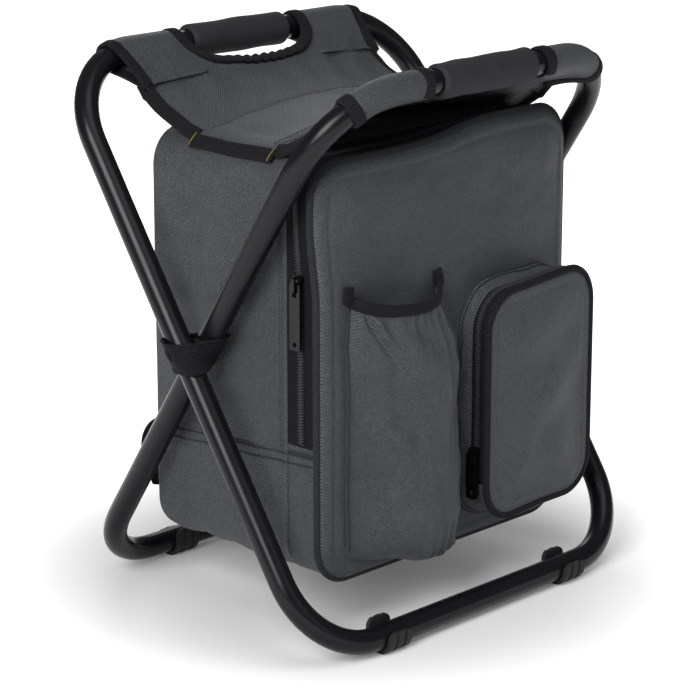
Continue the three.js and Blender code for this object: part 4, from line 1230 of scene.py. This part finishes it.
# %% Front panel and its piping
def front_face(x, z):
    d = inside_edge(x, z, *BAG)
    folds = 0.0012 * ripples(x, z, 61, 0.08) + 0.0004 * ripples(x, z, 62, 0.03)
    bulge = 0.0032 * smooth_step(d / 0.07) + folds * smooth_step(d / 0.03)
    dip = 0.0007 * bump_at(d, 0.0105, 0.0020)
    return FRONT_SEAM - 0.0062 * rounded(d, 0.009) - bulge + dip


gx, gz = face_grid(*BAG, 120, 140)
points = front_slack(np.stack([gx, front_face(gx, gz), gz], -1))
part = cloth_part(points, flat_map(gx, gz), BAG_INSIDE, CLOTH)
front_cloth = piece("front_cloth", part, grey_cloth, "front_flap", ["front_panel"])
line = front_slack(raised(bag_ring, FRONT_SEAM + 0.0006, 0.0008))
part = swept(line, round_profile(0.0025, 12), True, ring_normal(bag_ring))
front_piping = piece("front_cord", part, piping_tape, "front_flap", ["front_piping"])
print(front_cloth.name, len(front_cloth.data.vertices), "points;", front_piping.name)

# %% [markdown]
# ## Main zip
# Two tapes meet at the teeth. One is sewn to the body and one to the front, so each rides on its own
# side. The teeth are small bars across the gap at a regular pitch.


# %% Main zip
def zip_line(shape, start_z):
    """The stretch of an outline above start_z."""
    ring, _ = outline(*shape, 300)
    return [v[ring[1] >= start_z] for v in ring]


def zip_halves(name, shape, start_z, line_y, halves, lift, tooth_gap, tooth_length, slack):
    """A tape and its teeth for each half; a half is (name, body, where it is sewn, side, tooth shift)."""
    inside = (shape[0], 0, (shape[2] + shape[3]) / 2)
    for half, body, sewn_y, side, shift in halves:
        from_back = sorted((sewn_y, line_y + side * 0.0004), reverse=True)
        y = np.linspace(*from_back, 9)[:, None]
        part = cloth_part(slack(raised(zip_line(shape, start_z), y, lift)), None, inside, 0.0009)
        tape = piece(f"{name}_zip_{half}_tape", part, zip_tape, body, [f"{name}_zip_{half}"])
        ring = zip_line(shape, start_z + 0.002)
        line = slack(raised(ring, line_y + side * tooth_gap, lift + 0.0005))
        part = toothed(line, ring_normal(ring), tooth_length, shift)
        teeth = piece(f"{name}_zip_{half}_teeth", part, zip_teeth_nylon, body)
        print(tape.name, teeth.name, len(teeth.data.vertices), "points")


halves = (("rear", "bag", ZIP_EDGE + 0.003, 1, 0.0), ("front", "front_flap", FRONT_SEAM + 0.001, -1, 0.5))
zip_halves("main", BAG, ZIP_END_Z, ZIP_Y, halves, 0.0003, 0.0010, 0.0042, front_slack)

# %% [markdown]
# ## Gussets
# Below the zip's ends the cloth runs on between the body and the front. It has to stretch when the
# front opens; here it rides on no body and stays where it is drawn.

# %% Gussets
for end, name in ((-1, "left"), (1, "right")):
    x, z = bag_ring[:2]
    keep = (np.sign(x) == end) & (z < ZIP_END_Z + 0.004) & (np.abs(x) > 0.094)
    order = np.argsort(z[keep] - 1e-3 * np.abs(x[keep]))
    ring, s = [v[keep][order] for v in bag_ring], bag_s[keep][order]
    y = np.linspace(ZIP_EDGE + 0.001, FRONT_SEAM + 0.0005, 22)[:, None]
    free = np.sin(np.pi * np.linspace(0, 1, 22))[:, None]
    off = 0.0003 - seam_dip(ring[1] - side_seam(y)) + 0.0005 * ripples(y, ring[1], 71, 0.03) * free
    part = cloth_part(raised(ring, y, off), flat_map(y, s), (0, -0.07, 0.15), 0.0014)
    cloth = piece(f"gusset_{name}_cloth", part, grey_cloth, None, [f"gusset_{name}"])
    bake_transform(cloth)
    y = np.linspace(ZIP_EDGE, FRONT_SEAM + 0.002, 14)
    x = np.full_like(y, end * (BAG_HALF + 0.0006))
    lines = [np.stack([x, y, side_seam(y) - gap], -1) for gap in SEAM_GAPS]
    # Dark cords along the seam: partly stitching, partly painted shade of the seam's fold.
    made = piece(f"gusset_{name}_seams", threads(lines), seam_thread_and_shade)
    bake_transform(made)
    print(cloth.name, made.name)

# %% [markdown]
# ## Bottle pocket
# An open pocket of gathered cloth: its rim is a black elastic that pulls the cloth into pleats, and
# its lower edge is gathered again. Sections across the pocket are drawn from the left edge to the right
# one, and the pleats are waves that fade away from both gathered edges.

# %% Form of the bottle pocket
POCKET_RISE, POCKET_OUT, POCKET_CLOTH = 0.19, 0.0275, 0.0013


def bottle_lines(u):
    """Lower and upper edge of the pocket: x, z of each, for u from the left edge to the right one."""
    low_z = 0.0555 - 0.0085 * smooth_step((u - 0.3) / 0.35) + 0.0125 * np.exp(-u / 0.10)
    low_z = low_z + 0.0012 * np.sin(u * 40) * u
    top_z = 0.2475 + 0.0110 * np.exp(-u / 0.13) + 0.0075 * np.exp((u - 1) / 0.07) - 0.0010 * np.sin(np.pi * u)
    return -0.1120 + u * 0.1100, low_z, -0.1095 + u * 0.0915, top_z


def bottle_pleats(u, v):
    """Pleats below the rim and above the lower edge, one slanting fold, and slack between them."""
    ends = smooth_step((0.985 - v) / 0.05)
    from_rim = (1 - v) * POCKET_RISE
    rim = np.exp(-from_rim / 0.013) * ends
    right = np.exp(-from_rim / 0.055) * ends * smooth_step((u - 0.62) / 0.2)
    foot = np.exp(-v * POCKET_RISE / 0.020) * (0.35 + 0.65 * smooth_step((u - 0.5) / 0.2))
    phase = u * 62 + 1.9 * np.sin(u * 9 + 0.6)
    pleats = np.sin(phase) * (0.0021 * rim + 0.0026 * foot) + 0.0026 * np.sin(u * 44 + 3 * v) * right
    drop = np.clip((0.97 - v) / 0.30, 0, 1)
    off_fold = u - 0.10 - 0.34 * drop
    slant = 0.0036 * bump_at(off_fold, 0.05, 0.032) - 0.0044 * bump_at(off_fold, 0.0, 0.024)
    slack = 0.0012 * ripples(u * 0.10 + 0.05 * v, 0.045 * v, 81, 0.030)
    slack = slack + 0.0007 * ripples(u * 0.1, 0.1 * v, 82, 0.02)
    return pleats + slant * (1 - drop) * ends + slack


def bottle_surface(u, v, pleated=1.0):
    """Points of the pocket; v runs from the lower edge to the rim."""
    low_x, low_z, top_x, top_z = bottle_lines(u)
    x = low_x + (top_x - low_x) * smooth_step((v - 0.78) / 0.22)
    z = low_z + v * (top_z - low_z)
    w = np.clip((u - 0.055) / 0.945, 0, 1)
    across = np.where(w < 0.6, smooth_step(w / 0.6) ** 0.8, 1 - (np.maximum(w - 0.6, 0) / 0.4) ** 2.8)
    rounder = np.sin(np.pi * w ** 0.92) ** 0.72
    across = across + (rounder - across) * smooth_step((v - 0.6) / 0.35)
    opened = rounded(v, 0.075 - 0.03 * smooth_step((u - 0.6) / 0.3))
    opened = opened * (1 - 0.16 * smooth_step((v - 0.7) / 0.3))
    pleats = pleated * bottle_pleats(u, v) * np.clip(across * 1.6, 0, 1)
    out = POCKET_OUT * across * opened + pleats
    right = np.clip(2 * w - 1, 0, 1)
    x = x + 0.0060 * right ** 2 * smooth_step(v / 0.04) * smooth_step((1 - v) / 0.4) * (1 - right ** 8)
    return np.stack([x, front_face(x, z) - 0.0006 - out, z], -1)


print("bottle pocket edges", [np.round(v, 4) for v in bottle_lines(np.array([0.0, 1.0]))])

# %% Bottle pocket cloth
u = np.r_[np.linspace(0, 0.06, 8)[:-1], np.linspace(0.06, 0.92, 90),
          0.92 + 0.08 * np.sin(np.linspace(0, 1, 16)[1:] * np.pi / 2)]
v = np.r_[np.linspace(0, 0.13, 16)[:-1], np.linspace(0.13, 0.8, 50)[:-1], np.linspace(0.8, 1, 26)]
u, v = np.meshgrid(u, v)
part = cloth_part(bottle_surface(u, v), flat_map(u * 0.115, v * 0.2), (-0.055, -0.08, 0.15), POCKET_CLOTH)
bottle = piece("bottle_pocket_cloth", part, grey_cloth, "front_flap", ["bottle_pocket"])
print(bottle.name, len(bottle.data.vertices), "points")

# %% [markdown]
# ## Rim and seams of the bottle pocket
# The elastic is a thick tape along the rim. It follows the cloth, but only a little of its pleats,
# because elastic doesn't crease. Two short tabs sew its ends to the panel.

# %% Elastic rim and seams
fine = np.linspace(0, 1, 120)
rim_line = bottle_surface(fine, np.full_like(fine, 0.984), 0.12) + np.array([0, -0.0004, 0])
ahead = np.gradient(rim_line, axis=0)
outward = unit(np.stack([ahead[:, 1], -ahead[:, 0], 0 * fine], -1))
rim_line, where = spaced(rim_line, 0.0015)
outward = evened(read_at(outward, fine * where[-1], where), 4)
parts = [taped(rim_line, outward, 0.0088, 0.0042)]
drop = np.linspace(0.006, -0.006, 8)
for x, z, tilt in ((-0.1085, 0.2575, 0.15), (-0.0180, 0.2545, -0.25)):
    y = np.full_like(drop, front_face(x, z) - 0.0016)
    line = np.stack([x + tilt * drop, y, z + drop], -1)
    parts.append(taped(line, np.broadcast_to([0.0, -1, 0], line.shape), 0.0085, 0.0030))
part = combine(*parts)
rim = piece("bottle_pocket_elastic", part, black_tape, "front_flap", ["bottle_pocket_rim"])
up = np.linspace(0.03, 0.96, 60)
lines = [bottle_surface(np.full_like(up, place), up) + np.array([0, -0.0002, 0]) for place in (0.004, 0.045)]
# Dark cords along the seams: partly stitching, partly painted shade of the seam's fold.
bottle_seam = piece("bottle_pocket_seams", threads(lines), seam_thread_and_shade, "front_flap")
print(rim.name, bottle_seam.name)

# %% [markdown]
# ## Zip pocket
# A shallow box: a gusset stands out from the front panel, the zip runs round it, and a cushioned
# face opens like a lid. The parts behind the teeth ride on the front panel and those before them on
# the pocket's own flap.

# %% Gusset of the zip pocket
ZIP2_Y = sum(corner.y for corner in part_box("pocket_zip_slider")) / 2
pocket_low, pocket_high = (corner.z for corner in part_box("pocket_front"))
pocket_x0, pocket_x1 = (corner.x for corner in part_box("pocket_front"))
POCKET_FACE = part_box("pocket_front")[0].y
POCKET = ((pocket_x0 + pocket_x1) / 2, (pocket_x1 - pocket_x0) / 2, pocket_low, pocket_high, 0.027)
POCKET_INSIDE = (POCKET[0], -0.11, 0.15)
POCKET_END_Z = pocket_low + 0.028


def pocket_slack(points):
    """The pocket is pulled out of square: its upper right corner rises and its lower left one sinks."""
    x, y, z = points[..., 0], points[..., 1], points[..., 2]
    side = np.clip((x - POCKET[0]) / POCKET[1], -1, 1)
    near = smooth_step((-0.100 - y) / 0.02)
    rise = (0.0030 + 0.0042 * side) * smooth_step((z - pocket_high + 0.07) / 0.07) * near
    fall = 0.0032 * np.clip(-side, 0, 1) * smooth_step((pocket_low + 0.05 - z) / 0.05) * near
    return points + np.stack([0 * x, 0 * x, rise - fall], -1)


pocket_ring, pocket_s = outline(*POCKET, 200)
px, pz, pnx, pnz = pocket_ring
t = np.linspace(0, 1, 20)[:, None]
foot_y = front_face(px + 0.007 * pnx, pz + 0.007 * pnz) + 0.0010
y = foot_y + t * (ZIP2_Y + 0.0045 - foot_y)
flare = 0.0078 * (1 - t) ** 1.5 * smooth_step((POCKET[0] + POCKET[1] - 0.006 - px) / 0.03)
swell = (0.0014 + 0.0006 * ripples(pocket_s, y * 2, 91, 0.03)) * np.sin(np.pi * t)
wall_points = pocket_slack(raised(pocket_ring, y, flare + swell - 0.0006 * bump_at(t, 0.86, 0.05)))
part = cloth_part(wall_points, flat_map(y, pocket_s), POCKET_INSIDE, POCKET_CLOTH, wrap=True)
pocket_wall = piece("pocket_gusset_cloth", part, grey_cloth, "front_flap", ["pocket_gusset"])
print(pocket_wall.name, "face at", round(POCKET_FACE, 4))

# %% Zip of the pocket
start = int(np.argmax(pz >= POCKET_END_Z + 0.001))
lower = np.roll(np.arange(len(pz)), -start)
lower = lower[pz[lower] < POCKET_END_Z + 0.001]


def pocket_band(y0, y1, steps):
    """A strip of cloth round the pocket below the zip's ends, from depth y0 to y1."""
    y = np.linspace(y0, y1, steps)[:, None]
    points = pocket_slack(raised([v[lower] for v in pocket_ring], y, 0.0002))
    return cloth_part(points, flat_map(y, pocket_s[lower]), POCKET_INSIDE, 0.0011)


part = pocket_band(ZIP2_Y - 0.0002, POCKET_FACE + 0.0015, 8)
lip = piece("pocket_lip_cloth", part, grey_cloth, "pocket_flap")
part = pocket_band(ZIP2_Y + 0.005, ZIP2_Y + 0.0002, 6)
sill = piece("pocket_sill_cloth", part, grey_cloth, "front_flap")
print(lip.name, sill.name)
halves = (("rear", "front_flap", ZIP2_Y + 0.0052, 1, 0.0),
          ("front", "pocket_flap", POCKET_FACE + 0.002, -1, 0.5))
zip_halves("pocket", POCKET, POCKET_END_Z, ZIP2_Y, halves, 0.0004, 0.0009, 0.0036, pocket_slack)

# %% [markdown]
# ## Face of the zip pocket
# The face is one more low cushion, fuller than the front panel, with small folds along its right
# edge where the cloth is pulled. A black cord covers the edge.


# %% Face of the zip pocket
def pocket_face(x, z):
    d = inside_edge(x, z, *POCKET)
    folds = 0.0009 * np.sin(z * 190 + 2 * np.sin(z * 60)) * np.exp(-(POCKET[0] + POCKET[1] - x) / 0.014)
    folds = folds + 0.0010 * ripples(x, z, 95, 0.05)
    bulge = 0.0058 * smooth_step(d / 0.05) + folds * smooth_step(d / 0.02)
    return POCKET_FACE + 0.0016 - 0.0026 * rounded(d, 0.007) - bulge + 0.0006 * bump_at(d, 0.0085, 0.0018)


gx, gz = face_grid(*POCKET, 80, 100)
points = pocket_slack(np.stack([gx, pocket_face(gx, gz), gz], -1))
part = cloth_part(points, flat_map(gx, gz), (POCKET[0], -0.09, 0.15), POCKET_CLOTH)
pocket_cloth = piece("pocket_face_cloth", part, grey_cloth, "pocket_flap", ["pocket_front"])
line = pocket_slack(raised(pocket_ring, POCKET_FACE + 0.0014, 0.0006))
part = swept(line, round_profile(0.0028, 12), True, ring_normal(pocket_ring))
pocket_cord = piece("pocket_cord", part, black_tape, "pocket_flap")
lines = [wall_points[k] + 0.0003 * ring_normal(pocket_ring) for k in (2, 6)]
# Dark cords along the seams: partly stitching, partly painted shade of the seam's fold.
pocket_seam = piece("pocket_seams", threads(lines, True), seam_thread_and_shade, "front_flap")
print(pocket_cloth.name, len(pocket_cloth.data.vertices), "points;", pocket_cord.name, pocket_seam.name)

# %% [markdown]
# ## Bands round the crossing legs
# A webbing band is wound round each pair of crossing legs. Its outline at each height is the tight
# string round two ovals, and the ovals change sides from below the pivot to above it, which
# twists the band.

# %% Leg bands
BAND_LOW, BAND_HIGH, BAND = -0.0122, 0.0082, 0.0018
OVAL_X, OVAL_Y = 0.01191 + BAND, 0.01106 + BAND
BAND_POINTS, BAND_LENGTH = 72, 0.13


def band_ring(z, side):
    """The tight string round both legs at a height above the pivot."""
    a = turn_angles(BAND_POINTS)
    nx, ny = np.cos(a), np.sin(a)
    reach = np.hypot(OVAL_X * nx, OVAL_Y * ny)
    away = side * z * math.tan(LEAN)
    outer = OUTER_SPAN / 2 * nx + away * ny > INNER_SPAN / 2 * nx - away * ny
    x = np.where(outer, OUTER_SPAN / 2, INNER_SPAN / 2) + OVAL_X ** 2 * nx / reach
    y = np.where(outer, away, -away) + OVAL_Y ** 2 * ny / reach
    return np.stack([side * x, side * y, np.full_like(a, PIVOT_Z + z)], -1)


zs = np.linspace(BAND_LOW, BAND_HIGH, 21)
around = np.arange(BAND_POINTS) / BAND_POINTS * BAND_LENGTH
edges = 0.0004 * (bump_at(zs, -0.0115, 0.0012) + bump_at(zs, 0.0075, 0.0012))
for side, name in ((-1, "left"), (1, "right")):
    rings = np.stack([band_ring(z, side) for z in zs])
    for _ in range(3):
        rings = (np.roll(rings, 1, 1) + 2 * rings + np.roll(rings, -1, 1)) / 4
    sway = 0.0006 * ripples(around, 2.0 * zs[:, None], 97 + side, 0.03)
    centre = np.array([side * 0.161, 0, PIVOT_Z])
    level = unit((rings - centre) * np.array([1, 1, 0]))
    rings = rings + level * (sway + edges[:, None])[..., None]
    part = cloth_part(rings, flat_map(around, zs[:, None]), centre, BAND, wrap=True)
    band = piece(f"band_{name}_webbing", part, black_tape, None, [f"band_{name}"])
    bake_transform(band)
    print(band.name, len(band.data.vertices), "points")

# %% [markdown]
# ## Shoulder straps
# Each strap on the back is a flat foam pad, a ladder buckle and a webbing that bows out to the
# lower corner of the bag. The pad is drawn as boxy rings with two sewn channels, and the webbing as a
# thin swept tape.

# %% Shoulder straps
STRAP_X, STRAP_TOP, PAD_LENGTH, PAD_GAP = 0.052, BAG_TOP - 0.026, 0.162, 0.0003
PAD_HALF, PAD_THICK = 0.0228, 0.0042
WEB_OUT, WEB_BOW, WEB_DROP = 0.068, 0.044, 0.066
t, a = np.meshgrid(np.linspace(0, 1, 60), turn_angles(48), indexing="ij")
c, s = np.cos(a), np.sin(a)
tip = rounded(1 - np.abs(2 * t - 1), 0.12)
channels = 1 - 0.22 * bump_at(c, 0.72, 0.06) - 0.22 * bump_at(c, -0.72, 0.06)
pad_x = PAD_HALF * (0.72 + 0.28 * tip) * pushed_out(c, 0.6)
pad_y = BACK_Y + 0.0050 + 0.008 * np.sin(np.pi * t)
pad_y = pad_y + PAD_THICK * (0.35 + 0.65 * tip) * channels * pushed_out(s, 0.7)
share = np.linspace(-0.1, 1, 60)
run = np.clip(share, 0, 1) ** 1.3
bow = BACK_Y + 0.0011 + WEB_BOW * np.sin(np.pi * run) + 0.0008 * (share < 0)
for side, name in ((-1, "left"), (1, "right")):
    x = side * STRAP_X + pad_x
    y = pad_y + 0.0004 * ripples(x, t * 0.16, 98 + side, 0.03)
    rings = np.stack([x, y, STRAP_TOP - PAD_LENGTH * t], -1)
    ends = [np.broadcast_to(rings[k].mean(0), rings[k].shape)[None] for k in (0, -1)]
    part = weld(grid_part(np.concatenate([ends[0], rings, ends[1]]), wrap=True), FINE)
    part = turned_out(part, (side * STRAP_X, BACK_Y + 0.008, STRAP_TOP - 0.08))
    pad = piece(f"strap_pad_{name}_cloth", part, black_tape, "bag", [f"strap_pad_{name}"])
    low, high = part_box(f"strap_buckle_{name}")
    web_top = STRAP_TOP - PAD_LENGTH - (high.z - low.z) - 2 * PAD_GAP
    line = np.stack([side * (STRAP_X + WEB_OUT * run), bow, web_top - WEB_DROP * share], -1)
    outward = np.cross(unit(np.gradient(line, axis=0)), np.array([1.0, 0, 0]))
    part = taped(line, outward * np.sign(outward[:, 1:2]), 0.0218, 0.0015)
    web = piece(f"strap_web_{name}_tape", part, black_tape, "bag", [f"strap_web_{name}"])
    print(pad.name, web.name)
